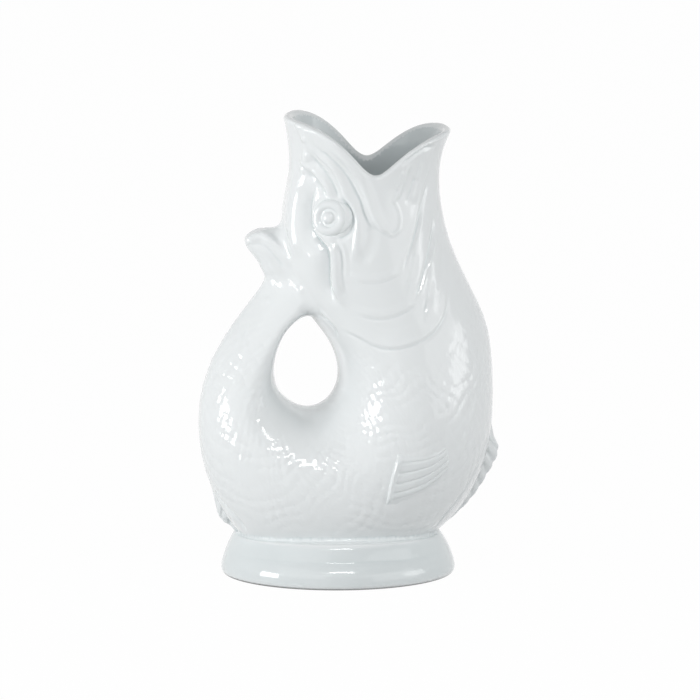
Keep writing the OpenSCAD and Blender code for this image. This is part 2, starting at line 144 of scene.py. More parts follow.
# Folds pressed into the fish, as kind, half width mm, height mm and places along it as row and
# across. A roll stands up and a dip goes in. A crease has a sharp bottom. A groove and a ridge
# have one slow and one steep side
FOLDS = (
    # temple, and the channel between it and the eye
    ("roll", 6.0, 1.0, ((0.86, -0.88), (1.17, -0.82), (1.58, -0.79), (2.01, -0.8), (2.49, -0.84),
        (3.15, -0.87))),
    ("roll", 12.0, 2.2, ((2.39, -0.85), (2.97, -0.89), (3.49, -0.91), (3.95, -0.91), (4.38, -0.89),
        (4.82, -0.87), (5.26, -0.85))),
    ("groove", 12.0, 3.0, ((2.95, -0.64), (3.23, -0.71), (3.56, -0.74), (3.88, -0.73), (4.2, -0.7),
        (4.44, -0.64), (4.62, -0.57), (4.81, -0.51), (5.09, -0.5), (5.37, -0.53), (5.66, -0.57),
        (5.95, -0.59), (6.2, -0.59), (6.4, -0.57))),
    ("groove", 9.5, 1.4, ((2.8, -0.58), (3.12, -0.7), (3.49, -0.74), (3.85, -0.73), (4.17, -0.69),
        (4.41, -0.64), (4.64, -0.57), (4.85, -0.51), (5.11, -0.5), (5.4, -0.53), (5.68, -0.56),
        (5.94, -0.58), (6.2, -0.58))),
    # ring round the back of the eye that runs down as the cheek's fold
    ("ridge", 6.5, 1.6, ((3.27, -0.53), (3.39, -0.61), (3.59, -0.66), (3.83, -0.66), (4.09, -0.64),
        (4.31, -0.61), (4.5, -0.54), (4.66, -0.48), (4.88, -0.45), (5.19, -0.46), (5.53, -0.49),
        (5.84, -0.52), (6.13, -0.53), (6.33, -0.52), (6.46, -0.48))),
    ("roll", 3.4, 1.1, ((4.6, -0.45), (4.85, -0.4), (5.15, -0.4), (5.49, -0.44), (5.8, -0.47),
        (6.09, -0.48))),
    ("crease", 1.7, 0.35, ((4.42, -0.43), (4.64, -0.36), (4.89, -0.34), (5.17, -0.35),
        (5.48, -0.39))),
    ("roll", 2.2, 0.4, ((4.48, -0.4), (4.64, -0.33), (4.86, -0.3), (5.14, -0.3), (5.42, -0.33),
        (5.73, -0.36))),
    # socket in front of the eye
    ("crease", 2.2, 1.4, ((3.23, -0.41), (3.37, -0.3), (3.6, -0.23), (3.87, -0.19), (4.14, -0.2),
        (4.33, -0.24), (4.44, -0.33), (4.45, -0.42))),
    # three folds that run from the lip down past the eye
    ("ridge", 5.0, 1.0, ((2.09, -0.92), (2.24, -0.84), (2.41, -0.76), (2.62, -0.67), (2.93, -0.57),
        (3.2, -0.5), (3.41, -0.45))),
    ("dip", 2.6, 0.7, ((2.5, -0.83), (2.65, -0.74), (2.85, -0.66), (3.1, -0.59), (3.31, -0.56))),
    ("groove", 5.2, 1.3, ((1.73, -0.8), (2.1, -0.69), (2.45, -0.57), (2.8, -0.47), (3.09, -0.41),
        (3.34, -0.37))),
    ("ridge", 6.0, 1.25, ((1.43, -0.84), (1.66, -0.74), (1.94, -0.64), (2.21, -0.52), (2.55, -0.42),
        (2.88, -0.35), (3.2, -0.3), (3.41, -0.23), (3.65, -0.17), (3.95, -0.14), (4.31, -0.15),
        (4.65, -0.17), (4.99, -0.21), (5.33, -0.25))),
    ("groove", 6.2, 1.45, ((1.36, -0.77), (1.66, -0.65), (1.91, -0.53), (2.24, -0.39), (2.6, -0.27),
        (2.99, -0.17), (3.37, -0.09), (3.74, -0.04), (4.04, 0.03), (4.24, 0.11))),
    ("dip", 5.5, 0.8, ((3.95, -0.01), (4.31, 0.04), (4.62, 0.01), (4.91, -0.05), (5.21, -0.17))),
    ("ridge", 6.5, 1.35, ((1.3, -0.65), (1.72, -0.47), (2.05, -0.33), (2.42, -0.21), (2.82, -0.1),
        (3.24, -0.02), (3.65, 0.04), (3.95, 0.1), (4.17, 0.17), (4.29, 0.25), (4.39, 0.32))),
    # lobe at the end of the jaw and the fold from it to the lip
    ("roll", 1.3, 0.6, ((3.19, 0.32), (3.48, 0.37), (3.74, 0.41), (3.95, 0.41), (4.19, 0.39),
        (4.33, 0.34), (4.38, 0.28), (4.31, 0.2))),
    ("roll", 1.6, 0.75, ((3.51, 0.31), (3.14, 0.4), (2.76, 0.46), (2.4, 0.5), (2.11, 0.54))),
    ("roll", 1.3, 0.5, ((3, 0.37), (2.68, 0.42), (2.36, 0.46))),
    # rim under the lower lip
    ("roll", 2.2, 1.4, ((2.01, 0.41), (1.76, 0.5), (1.58, 0.6), (1.46, 0.71), (1.43, 0.84))),
    ("dip", 2.2, 1.2, ((2.24, 0.38), (2, 0.49), (1.82, 0.58), (1.68, 0.68), (1.67, 0.84))),
    # three pleats of the throat, each with a hollow under its end
    ("ridge", 8.0, 0.8, ((1.66, 0.7), (2.1, 0.7), (2.55, 0.67), (3.05, 0.6), (3.48, 0.54))),
    ("dip", 2.6, 0.6, ((2.61, 0.65), (2.82, 0.6), (3.17, 0.56), (3.54, 0.51))),
    ("roll", 1.3, 0.3, ((2.12, 0.82), (2.59, 0.78), (3.05, 0.71), (3.6, 0.65), (4.2, 0.57),
        (4.73, 0.47), (5.24, 0.34), (5.5, 0.27))),
    ("crease", 1.8, 0.8, ((2.65, 0.83), (3.14, 0.77), (3.68, 0.69), (4.21, 0.61), (4.71, 0.51),
        (5.14, 0.4), (5.42, 0.32))),
    ("roll", 1.3, 0.25, ((3.76, 0.73), (4.28, 0.64), (4.63, 0.56), (4.98, 0.46), (5.37, 0.34))),
    ("ridge", 7.5, 0.9, ((3.51, 0.75), (4.05, 0.68), (4.56, 0.6), (4.99, 0.52), (5.36, 0.44),
        (5.72, 0.34), (6.09, 0.24))),
    ("dip", 2.8, 0.6, ((4.91, 0.54), (5.15, 0.49), (5.42, 0.44), (5.75, 0.33))),
    ("crease", 2.2, 1.0, ((3.77, 0.88), (4.29, 0.82), (4.72, 0.74), (5.11, 0.65), (5.49, 0.54),
        (5.87, 0.41), (6.25, 0.27))),
    ("roll", 1.3, 0.3, ((4.51, 0.84), (4.9, 0.76), (5.25, 0.66), (5.58, 0.56), (5.92, 0.44),
        (6.33, 0.27))),
    ("ridge", 8.0, 0.9, ((4.32, 0.86), (4.8, 0.78), (5.21, 0.69), (5.61, 0.6), (6.02, 0.5),
        (6.43, 0.4), (6.85, 0.27))),
    ("dip", 2.8, 0.5, ((5.59, 0.61), (5.87, 0.55), (6.17, 0.46), (6.53, 0.32))),
    # two curved lines across the cheek, each under a swelling, and the gill's margin
    ("roll", 3.5, 0.35, ((5.48, -0.38), (5.54, -0.28), (5.57, -0.17), (5.58, -0.06), (5.54, 0.06),
        (5.44, 0.19), (5.29, 0.31))),
    ("crease", 1.5, 0.42, ((5.66, -0.25), (5.68, -0.19), (5.7, -0.13), (5.69, -0.01), (5.62, 0.11),
        (5.51, 0.23), (5.37, 0.34))),
    ("roll", 3.8, 0.4, ((6.43, -0.46), (6.53, -0.35), (6.58, -0.23), (6.55, -0.1), (6.44, 0.05),
        (6.3, 0.2), (6.13, 0.34))),
    ("crease", 1.8, 0.55, ((6.55, -0.47), (6.67, -0.36), (6.72, -0.25), (6.69, -0.13), (6.6, 0.01),
        (6.48, 0.14), (6.33, 0.26), (6.16, 0.38))),
    ("step", 2.2, 0.8, ((7.21, -0.75), (7.26, -0.67), (7.32, -0.61), (7.44, -0.53), (7.56, -0.44),
        (7.61, -0.3), (7.53, -0.12), (7.38, 0.05), (7.23, 0.19), (7.03, 0.33), (6.77, 0.47),
        (6.46, 0.59), (6.12, 0.69), (5.78, 0.77))),
    # wrinkles over the handle's hole
    ("roll", 2.2, 0.7, ((6.5, -0.97), (6.56, -0.93), (6.57, -0.85), (6.73, -0.81), (6.95, -0.79),
        (7.3, -0.77))),
    ("dip", 2.4, 0.9, ((6.75, -0.96), (6.79, -0.91), (6.9, -0.85), (7.06, -0.81), (7.33, -0.81),
        (7.76, -0.87))),
    # along the roots of the fins, and the line from the side fin up the belly
    ("dip", 2.4, 0.7, ((9.53, 0.96), (9.75, 0.94), (10.11, 0.91), (10.42, 0.88), (10.73, 0.86),
        (11.0, 0.85), (11.22, 0.84), (11.46, 0.83), (11.73, 0.86), (11.95, 0.92))),
    ("dip", 3.2, 1.7, ((16.24, 0.96), (16.08, 0.96), (15.93, 0.93), (15.78, 0.89), (15.62, 0.86),
        (15.46, 0.85), (15.27, 0.88))),
    ("roll", 3.0, 0.35, ((10.89, 0.54), (10.49, 0.56), (10.05, 0.59), (9.6, 0.62), (9.16, 0.69),
        (8.71, 0.76))),
)
# Small swellings, as row, across, radius mm and height mm
LUMPS = (
    (0.97, -0.88, 3.2, 0.8), (1.37, -0.82, 3.0, 0.9), (1.99, -0.81, 3.8, 1.0),
    (2.46, -0.85, 2.8, 0.8), (2.78, -0.7, 1.4, 0.4), (3.37, -0.55, 1.2, 0.4),
    (3.42, -0.48, 1.2, 0.4), (3.37, -0.4, 1.2, 0.4), (6.09, -0.89, 2.8, 0.8),
    (6.28, -0.97, 2.0, 0.6), (5.87, -0.96, 2.2, 0.6), (20.6, 0.6, 3.5, 0.5),
)
# Lines on both faces of the tail fin, as kind, half width mm, height mm and x, z shares
FLUKE_FOLDS = (
    ("roll", 3.8, 1.2, ((-0.335, 0.722), (-0.318, 0.732), (-0.291, 0.74), (-0.263, 0.743),
        (-0.237, 0.734), (-0.216, 0.721), (-0.196, 0.705), (-0.175, 0.69), (-0.158, 0.675))),
    ("groove", 11.0, 0.7, ((-0.335, 0.706), (-0.322, 0.713), (-0.297, 0.721), (-0.269, 0.724),
        (-0.244, 0.716), (-0.223, 0.703), (-0.203, 0.687), (-0.182, 0.672))),
    ("dip", 3.6, 0.35, ((-0.262, 0.752), (-0.243, 0.75), (-0.219, 0.742), (-0.206, 0.723))),
    ("crease", 2.8, 0.5, ((-0.25, 0.69), (-0.243, 0.677), (-0.233, 0.659), (-0.219, 0.642),
        (-0.207, 0.62))),
)


def jug():
    """The jug's sizes and colours, as the scene holds them."""
    return bpy.context.scene.gurgle_jug


# ---------------------------------------------------------------- the fish's loft


def steered(points, i, t):
    """Places on a smooth curve that the four points from i on steer, t of the way along."""
    t = t[..., None]
    pulls = ((1 - t) ** 3, 3 * t**3 - 6 * t**2 + 4, -3 * t**3 + 3 * t**2 + 3 * t + 1, t**3)
    return sum(pull * points[(i + k) % len(points)] for k, pull in enumerate(pulls)) / 6


def rows_at(s):
    """The fish's rows at the row numbers s, on a smooth curve that runs on past both ends."""
    s = np.asarray(s, float)
    run_on = np.vstack([
        2 * FISH_ROWS[0] - FISH_ROWS[1], FISH_ROWS, 2 * FISH_ROWS[-1] - FISH_ROWS[-2]])
    i = np.clip(np.floor(s).astype(int), 0, len(FISH_ROWS) - 2)
    return steered(run_on, i, s - i)


def skin(s, angle, grow=0.0):
    """Points of the fish's skin at row s and angle: 0 at the belly's edge, pi at the back's,
    below zero on the right side. grow moves them outwards, in metres. Sections are ellipses, and
    towards the tail's end fuller and wider on their side towards the handle's hole."""
    s, angle, grow = np.broadcast_arrays(np.asarray(s, float), angle, grow)
    size = jug()
    rows = rows_at(s) * (
        size.body_length, size.jug_height, size.body_length, size.jug_height, size.body_width)
    back, front = rows[..., 0:2], rows[..., 2:4]
    reach = front - back
    half = np.linalg.norm(reach, axis=-1)[..., None] / 2
    across = np.cos(angle)
    place = (front + back) / 2 + reach / (2 * half) * (half + grow[..., None]) * across[..., None]
    full = 2 + TAIL_END_FULL * eased(s, *TAIL_FULL_ROWS) * (across < 0)
    side = (rows[..., 4] + grow) * np.sign(np.sin(angle))
    side = side * (1 - np.abs(across) ** full) ** (1 / full)
    side = side * (1 - TAIL_LEAN * eased(s, *TAIL_LEAN_ROWS) * across)
    return np.stack([place[..., 0], side, place[..., 1]], -1)


def outward(s, angle):
    """Points of the skin at row s and angle, and the way out of it there."""
    place = skin(s, angle)
    out = skin(s, angle, 1 * MM) - place
    return place, out / np.linalg.norm(out, axis=-1, keepdims=True)


def rim_row(angle):
    """Row of the mouth's edge at each angle."""
    off = np.cos(angle) - NOTCH_ACROSS
    run = np.where(off < 0, -off / (1 + NOTCH_ACROSS), off / (1 - NOTCH_ACROSS))
    lip = np.where(off < 0, UPPER_LIP_ROW, LOWER_LIP_ROW)
    rise = (np.hypot(run, NOTCH_SOFT) - NOTCH_SOFT) / (math.hypot(1, NOTCH_SOFT) - NOTCH_SOFT)
    return NOTCH_ROW + (lip - NOTCH_ROW) * np.sin(math.pi / 2 * rise)


def turns(sides):
    return np.linspace(-math.pi, math.pi, sides, endpoint=False)


def row_grid(sides, head_rings, pace, last_row):
    """Row numbers of rings from the mouth's edge to last_row, and the angles round them."""
    angle = turns(sides)
    rim = rim_row(angle)
    shares = np.linspace(0, 1, head_rings, endpoint=False)
    rings = [rim + (GILL_ROW - rim) * share for share in shares]
    rings += [np.full(sides, s) for s in np.arange(GILL_ROW, last_row + 1e-6, pace)]
    return np.array(rings), angle


def above(points, rows, height):
    """Keeps the points of the belly's underside above a height, clear of the slab in the foot."""
    low = (rows > UNDERSIDE_ROWS[0]) & (rows < UNDERSIDE_ROWS[1])
    points[..., 2] = np.where(low, np.maximum(points[..., 2], height), points[..., 2])
    return points


def lip_rings(sides, steps):
    """Half round of the mouth's edge, from outside to inside."""
    angle = turns(sides)
    round_over = jug().wall / 2
    pitch = np.linalg.norm(skin(2.0, 0.0) - skin(1.0, 0.0))
    turn = np.linspace(0, math.pi, steps + 2)[1:-1, None]
    return skin(
        rim_row(angle) - round_over * np.sin(turn) / pitch, angle, round_over * (np.cos(turn) - 1))


# ---------------------------------------------------------------- mesh helpers


def sheet(bm, rings, ends=True):
    """Adds a closed skin through rings of points: a grid bent to them, its seam welded, its ends
    filled unless they already run to a point."""
    count, sides = rings.shape[:2]
    made = bmesh.ops.create_grid(bm, x_segments=sides, y_segments=count - 1, size=1.0)["verts"]
    for vert in made:
        i = round((vert.co.y + 1) / 2 * (count - 1))
        k = round((vert.co.x + 1) / 2 * sides) % sides
        vert.co = rings[i, k]
    bmesh.ops.remove_doubles(bm, verts=made, dist=1e-7)
    if ends:
        made = [vert for vert in made if vert.is_valid]
        edges = {edge for vert in made for edge in vert.link_edges if edge.is_boundary}
        bmesh.ops.holes_fill(bm, edges=list(edges))
    return [vert for vert in made if vert.is_valid]


def shell(*skins):
    """A mesh of closed skins through sets of rings, facing outward."""
    bm = bmesh.new()
    for rings in skins:
        sheet(bm, rings)
    bmesh.ops.recalc_face_normals(bm, faces=bm.faces)
    return bm


def tree_of(rings):
    """A tree to cast rays at, of an open sheet through the rings."""
    bm = bmesh.new()
    sheet(bm, rings, ends=False)
    tree = BVHTree.FromBMesh(bm)
    bm.free()
    return tree


def closed_curve(points, count):
    """count points on the smooth closed curve that the given points steer."""
    s = np.linspace(0, len(points), count, endpoint=False)
    i = s.astype(int)
    return steered(np.roll(points, 1, 0), i, s - i)


def open_curve(points, count):
    """count points on a smooth curve through the given points."""
    points = np.asarray(points, float)
    run_on = np.vstack([2 * points[0] - points[1], points, 2 * points[-1] - points[-2]])
    s = np.linspace(0, len(points) - 1, count)
    i = np.clip(s.astype(int), 0, len(points) - 2)
    t = (s - i)[:, None]
    a, b, c, d = (run_on[i + k] for k in range(4))
    return 0.5 * (
        2 * b + (c - a) * t + (2 * a - 5 * b + 4 * c - d) * t**2 + (3 * b - a - 3 * c + d) * t**3)


def eased(value, low, high):
    """0 below low, 1 above high, eased between them."""
    t = np.clip((value - low) / (high - low), 0, 1)
    return t * t * (3 - 2 * t)


def coordinates(verts):
    return np.fromiter((c for vert in verts for c in vert.co), float).reshape(-1, 3)


def finish_piece(bm, name, nodes):
    """Makes a bmesh a glazed piece that stands for CAD nodes."""
    mesh = bpy.data.meshes.new(name)
    bm.to_mesh(mesh)
    bm.free()
    mesh.polygons.foreach_set("use_smooth", [True] * len(mesh.polygons))
    mesh.materials.append(glaze())
    piece = bpy.data.objects.new(name, mesh)
    bpy.context.scene.collection.objects.link(piece)
    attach(piece, "root")
    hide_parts(*nodes)
    return piece


# ---------------------------------------------------------------- the joined skin


def middle_tree():
    """The middle of the wall of the head and belly, where joined pieces end."""
    rows, angle = row_grid(96, 16, 0.25, 17.0)
    return tree_of(above(skin(rows, angle, -jug().wall / 2), rows, MIDDLE_LOW))


def sock_rings(middle, sides=112):
    """The fish's wall: from the end of the tail in the head's wall, over the outside to the lip,
    and down the inside to the end of the hollow."""
    size = jug()
    rows, angle = row_grid(sides, 26, 0.25, TAIL_REACH_ROW)
    outside = above(skin(rows, angle), rows, OUTSIDE_LOW)
    start = skin(np.full(sides, TAIL_REACH_ROW), angle)
    aim = skin(np.full(sides, TAIL_AIM_ROW), angle) - start
    centre = start.mean(0)
    ends = []
    for share in (0.0, 0.3, 0.6, 0.85, 1.0):
        ring = []
        for place, way in zip(centre + (start - centre) * share, aim):
            hit = middle.ray_cast(Vector(place), Vector(way).normalized())[0]
            ring.append(hit if hit else Vector(place + way * 0.6))
        ends.append(np.array(ring))
    reach = [start + (ends[-1] - start) * share for share in (0.75, 0.5, 0.25)]
    rows_in, _ = row_grid(sides, 20, 0.33, HOLLOW_END_ROW)
    inside = above(skin(rows_in, angle, -size.wall), rows_in, INSIDE_LOW)
    return np.concatenate([ends, reach, outside[::-1], lip_rings(sides, 7), inside])


def fluke_rings(middle, sides=72, steps=15):
    """The tail fin: a pillow of its outline, thicker towards the head and held inside its wall."""
    size = jug()
    outline = closed_curve(FLUKE_OUTLINE, sides) * (size.body_length, size.jug_height)
    centre = outline.mean(0)
    half = size.fluke_thickness / 2
    rings = []
    for lean in np.linspace(-1, 1, steps):
        lift = math.sin(lean * math.pi / 2)
        shrink = max(0.0, 1 - abs(lift) ** 3.2) ** (1 / 2.4)
        ring = []
        for x, z in centre + (outline - centre) * shrink:
            side = half * lift * (0.85 + 0.85 * eased(x / size.body_length, -0.3, -0.13))
            hit = middle.ray_cast(Vector((-0.2, side, z)), Vector((1, 0, 0)))[0]
            ring.append((min(x, hit.x) if hit else x, side, z))
        rings.append(ring)
    return np.array(rings)


def seat_ellipse():
    """Middle x, half length and half width of the belly where it meets the foot."""
    rows, angle = row_grid(144, 4, 0.1, 17.0)
    points = skin(rows, angle)[rows > UNDERSIDE_ROWS[0]]
    low = points[np.abs(points[:, 2] - jug().foot_height) < 1.2 * MM]
    first, last = low[:, 0].min(), low[:, 0].max()
    return (last + first) / 2, (last - first) / 2, low[:, 1].max()


def foot_flare(sides, steps):
    """Rings of the foot's outside, from its seat to the table."""
    size = jug()
    middle_x, length, width = seat_ellipse()
    radius = size.foot_diameter / 2
    angle = turns(sides)
    rings = []
    for height, way_long, way_wide in open_curve(FOOT_FLARE, steps):
        a = length + size.foot_shoulder + (radius - length - size.foot_shoulder) * way_long
        b = width + size.foot_shoulder + (radius - width - size.foot_shoulder) * way_wide
        rings.append(np.stack([
            middle_x * (1 - way_long) + a * np.cos(angle), b * np.sin(angle),
            max(height, 0.0) * (size.foot_height + SEAT_RISE * np.sin(angle) ** 2)], -1))
    return np.array(rings)


def foot_rings(middle, sides=128):
    """The foot: the seat of its slab, the flare outside, and the seat of the belly inside."""
    size = jug()
    angle = turns(sides)
    slab_low, slab_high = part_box("floor_slab")
    slab = slab_high.x + size.slab_gap
    flat = np.stack([np.cos(angle), np.sin(angle), np.zeros(sides)], -1)
    under = [flat * slab * share + (0, 0, slab_high.z + size.slab_gap) for share in (0.0, 0.5, 1.0)]
    under.append(flat * slab)
    middle_x, length, width = seat_ellipse()
    seat = []
    for share in (0.95, 0.8, 0.6, 0.4, 0.2, 0.0):
        ring = []
        for turn in angle:
            x = middle_x + (length - size.wall / 2) * share * math.cos(turn)
            y = (width - size.wall / 2) * share * math.sin(turn)
            hit = middle.ray_cast(Vector((x, y, 0)), Vector((0, 0, 1)))[0]
            ring.append((x, y, hit.z if hit else size.foot_height))
        seat.append(ring)
    return np.concatenate([under, foot_flare(sides, 50)[::-1], seat])


def samples(rings, rows=None, angle=None):
    """Points of a grid of rings with the way out of it, their rows and angles."""
    along = np.gradient(rings, axis=0)
    wrapped = np.concatenate([rings[:, -1:], rings, rings[:, :1]], 1)
    round_it = (wrapped[:, 2:] - wrapped[:, :-2]) / 2
    out = np.cross(round_it, along)
    out /= np.maximum(np.linalg.norm(out, axis=-1, keepdims=True), 1e-12)
    shape = rings.shape[:2]
    rows = np.zeros(shape) if rows is None else np.broadcast_to(rows, shape)
    angle = np.zeros(shape) if angle is None else np.broadcast_to(angle, shape)
    return rings.reshape(-1, 3), out.reshape(-1, 3), rows.ravel(), angle.ravel()


# Kinds of surface that the joined skin follows, and the parts that it is cut into
OUTSIDE, LIP, INSIDE, FOOT, FLUKE = range(5)
FOOT_PART, HEAD_PART, BELLY_PART, TAIL_PART = range(4)


def sample_sets(middle):
    """Samples of every surface that the joined skin follows, in the order of their kinds."""
    rows, angle = row_grid(220, 90, 0.07, 21.6)
    rows_in, angle_in = row_grid(110, 40, 0.16, HOLLOW_END_ROW)
    size = jug()
    return (
        samples(above(skin(rows, angle), rows, OUTSIDE_LOW), rows, angle),
        samples(lip_rings(280, 9), rim_row(turns(280)), turns(280)),
        samples(above(skin(rows_in, angle_in, -size.wall), rows_in, INSIDE_LOW), rows_in, angle_in),
        samples(foot_flare(220, 130)),
        samples(fluke_rings(middle, 140, 41)),
    )


class Skin:
    """Where each vertex of the joined skin lies on the surfaces it follows."""

    def __init__(self, sets):
        self.points = np.concatenate([group[0] for group in sets])
        self.out = np.concatenate([group[1] for group in sets])
        self.rows = np.concatenate([group[2] for group in sets])
        self.angles = np.concatenate([group[3] for group in sets])
        self.kinds = np.concatenate([
            np.full(len(group[0]), kind) for kind, group in enumerate(sets)])
        self.tree = KDTree(len(self.points))
        for index, point in enumerate(self.points):
            self.tree.insert(point, index)
        self.tree.balance()

    def find(self, verts):
        return np.array([self.tree.find(vert.co)[1] for vert in verts])


def fillets(bm, lookup, near, rings):
    """1 at each vertex where the tail or its fin is joined on, falling to 0 some rings away."""
    kinds, rows = lookup.kinds[near], lookup.rows[near]
    bm.verts.index_update()
    ends = np.fromiter((vert.index for edge in bm.edges for vert in edge.verts), int)
    a, b = ends.reshape(-1, 2).T
    joined = np.isin(kinds[a], (OUTSIDE, FLUKE)) & np.isin(kinds[b], (OUTSIDE, FLUKE))
    joined &= (kinds[a] != kinds[b]) | (np.abs(rows[a] - rows[b]) > 3)
    level = np.zeros(len(near))
    level[a[joined]] = level[b[joined]] = 1
    for _ in range(rings):
        spread = np.maximum(level[a], level[b]) - 1 / rings
        np.maximum.at(level, a, spread)
        np.maximum.at(level, b, spread)
    return level


def soften(bm, passes, verts=None, factor=0.5):
    """Smooths the mesh, or some of its vertices."""
    for _ in range(passes):
        bmesh.ops.smooth_vert(
            bm, verts=bm.verts if verts is None else verts, factor=factor, use_axis_x=True,
            use_axis_y=True, use_axis_z=True)


def settle(bm, lookup, rings):
    """Puts the skin's vertices back on the surfaces they follow, apart from the fillets."""
    verts = list(bm.verts)
    near = lookup.find(verts)
    places = coordinates(verts)
    off = np.einsum("ij,ij->i", places - lookup.points[near], lookup.out[near])
    slack = np.where(places[:, 2] < jug().foot_height + FOOT_FILLET, 3, 1)
    pull = 1 - eased(np.abs(off), 0.35 * MM * slack, 1.3 * MM * slack)
    pull *= 1 - eased(fillets(bm, lookup, near, rings), 0, 0.8)
    for vert, place in zip(verts, places - lookup.out[near] * (off * pull)[:, None]):
        vert.co = place
    return near, pull


def joined_skin(middle, lookup):
    """One closed mesh of the fish, its tail fin and its foot, joined with soft fillets."""
    bm = shell(sock_rings(middle), fluke_rings(middle), foot_rings(middle))
    mesh = bpy.data.meshes.new("skin_blank")
    bm.to_mesh(mesh)
    bm.free()
    blank = bpy.data.objects.new("skin_blank", mesh)
    bpy.context.scene.collection.objects.link(blank)
    join = blank.modifiers.new("join", "REMESH")
    join.mode = "VOXEL"
    join.voxel_size = jug().clay_grain
    bpy.context.view_layer.update()
    joined = blank.evaluated_get(bpy.context.evaluated_depsgraph_get()).to_mesh()
    bm = bmesh.new()
    bm.from_mesh(joined)
    bpy.data.objects.remove(blank)
    bpy.data.meshes.remove(mesh)
    bm.verts.ensure_lookup_table()
    soften(bm, 7)
    level = fillets(bm, lookup, lookup.find(bm.verts), FILLET_RINGS)
    level *= FILLET_LEAST + (1 - FILLET_LEAST) * eased(
        np.abs(coordinates(bm.verts)[:, 1]), *FILLET_FROM_MIDDLE)
    for share in (0.1, 0.35, 0.6):
        soften(bm, 14, [vert for vert, near in zip(bm.verts, level) if near > share])
    near, _ = settle(bm, lookup, FILLET_RINGS)
    inside = lookup.kinds[near] == INSIDE
    fine = [edge for edge in bm.edges if not all(inside[vert.index] for vert in edge.verts)]
    bmesh.ops.subdivide_edges(bm, edges=fine, cuts=1, use_grid_fill=True)
    soften(bm, 2)
    return bm


# ---------------------------------------------------------------- relief


# The steep side of a groove or ridge, as a share of its half width, and its least width
STEEP_SHARE = 0.25
STEEP_LEAST = 1.4 * MM
# Share of a fold's path over which it eases out
FOLD_FADE = 0.2
# Scales start under the gill's margin, which runs up the throat, and end on the tail
SCALES_ROW = 7.75
SCALES_RISE = 1.7
SCALES_END_ROW = 20.3
SCALES_OVER_FOOT = 9 * MM
# Share of a fold's height on the mouth's edge
FOLD_ON_LIP = 0.6
# The fish's skin that lies by the tail fin
BY_FLUKE_ROWS = (8, 19.5)
BY_FLUKE_X = -20 * MM
BY_FLUKE_HEIGHT = 0.6
# Recesses in which glaze pools and painted shade darkens them, by how far they lie under the
# softened skin, and the painted shade laid all over the inside
POOL_AND_SHADE_FROM = 0.12 * MM
POOL_AND_SHADE_DEPTH = 0.5 * MM
INSIDE_PAINTED_SHADE = 0.5


def stroke_height(places, kind, half, height, path, outs):
    """Height that one fold adds at the places: a roll, a dip, a crease, a groove with its steep
    side to the left of the path, a ridge with its slow side there, or a step with its raised side
    there. It eases out at the path's ends."""
    total = np.zeros(len(places))
    reach = half if kind != "step" else half * 5
    near = np.flatnonzero(
        np.all((places > path.min(0) - reach) & (places < path.max(0) + reach), axis=1))
    if not len(near):
        return total
    along = np.gradient(path, axis=0)
    along /= np.linalg.norm(along, axis=1, keepdims=True)
    left = np.cross(outs, along)
    for chunk in np.array_split(near, max(1, len(near) // 4000)):
        away = places[chunk][:, None] - path[None]
        gap = np.linalg.norm(away, axis=2)
        best = gap.argmin(1)
        gap = gap[np.arange(len(chunk)), best]
        share = best / (len(path) - 1)
        fade = eased(share, 0, FOLD_FADE) * eased(1 - share, 0, FOLD_FADE)
        side = np.einsum("ij,ij->i", away[np.arange(len(chunk)), best], left[best])
        steep = max(STEEP_SHARE * half, STEEP_LEAST)
        if kind in ("roll", "dip"):
            shape = np.clip(1 - (gap / half) ** 2, 0, 1) ** 2 * (1 if kind == "roll" else -1)
        elif kind == "crease":
            shape = -np.clip(1 - gap / half, 0, 1) ** 1.7
        elif kind == "groove":
            shape = -np.clip(1 - gap / np.where(side < 0, half, steep), 0, 1) ** 2
        elif kind == "ridge":
            shape = np.clip(1 - (gap / np.where(side < 0, steep, half)) ** 2, 0, 1) ** 2
        else:
            raised = np.exp(-np.clip(side, 0, None) / (half * 2))
            raised *= eased(side, -half * 0.25, half * 0.55)
            shape = raised * eased(reach - gap, 0, half) - 0.5 * np.clip(
                1 - np.abs(side + half * 0.3) / half, 0, 1) ** 1.7 * (gap < half * 1.4)
        total[chunk] = height * fade * shape
    return total


def fold_path(places, side):
    """A fold's path on the skin of one side, and the way out of the skin along it."""
    line = open_curve(places, 12 * len(places))
    return outward(line[:, 0], side * np.arccos(np.clip(line[:, 1], -1, 1)))


def scale_pattern(rows, angles):
    """Height share of the scales at rows and angles of the skin: soft domes in offset rows, each
    a little higher towards the tail, and not quite regular."""
    pitch = jug().scale_size
    s, turn = np.linspace(6, 22, 161), np.linspace(0, math.pi, 61)
    grid = skin(s[:, None], turn[None])
    arc = np.cumsum(np.linalg.norm(np.diff(grid, axis=1, prepend=grid[:, :1]), axis=2), 1)
    arc -= arc[:, 30:31]
    run = np.cumsum(np.linalg.norm(np.diff(grid[:, 30], axis=0, prepend=grid[:1, 30]), axis=1))
    i, j = np.clip((rows - 6) * 10, 0, 159.99), np.clip(np.abs(angles) / math.pi * 60, 0, 59.99)
    a, b = i.astype(int), j.astype(int)
    u, v = i - a, j - b
    around = (
        (1 - u) * (1 - v) * arc[a, b] + u * (1 - v) * arc[a + 1, b] + (1 - u) * v * arc[a, b + 1]
        + u * v * arc[a + 1, b + 1]) / pitch
    along = np.interp(rows, s, run) / pitch
    along, around = (
        along + 0.16 * np.sin(1.9 * around + 1.1 * along)
        + 0.1 * np.sin(0.7 * around - 2.3 * along),
        around + 0.16 * np.sin(1.7 * along - 1.3 * around) + 0.1 * np.sin(2.9 * along))
    domes = []
    for odd in (0, 0.5):
        x = around + odd - np.round(around + odd)
        y = along + odd - np.round(along + odd)
        domes.append(1 - (x / 0.6) ** 2 - (y / 0.6) ** 2 + 0.5 * y)
    return np.maximum(*domes)


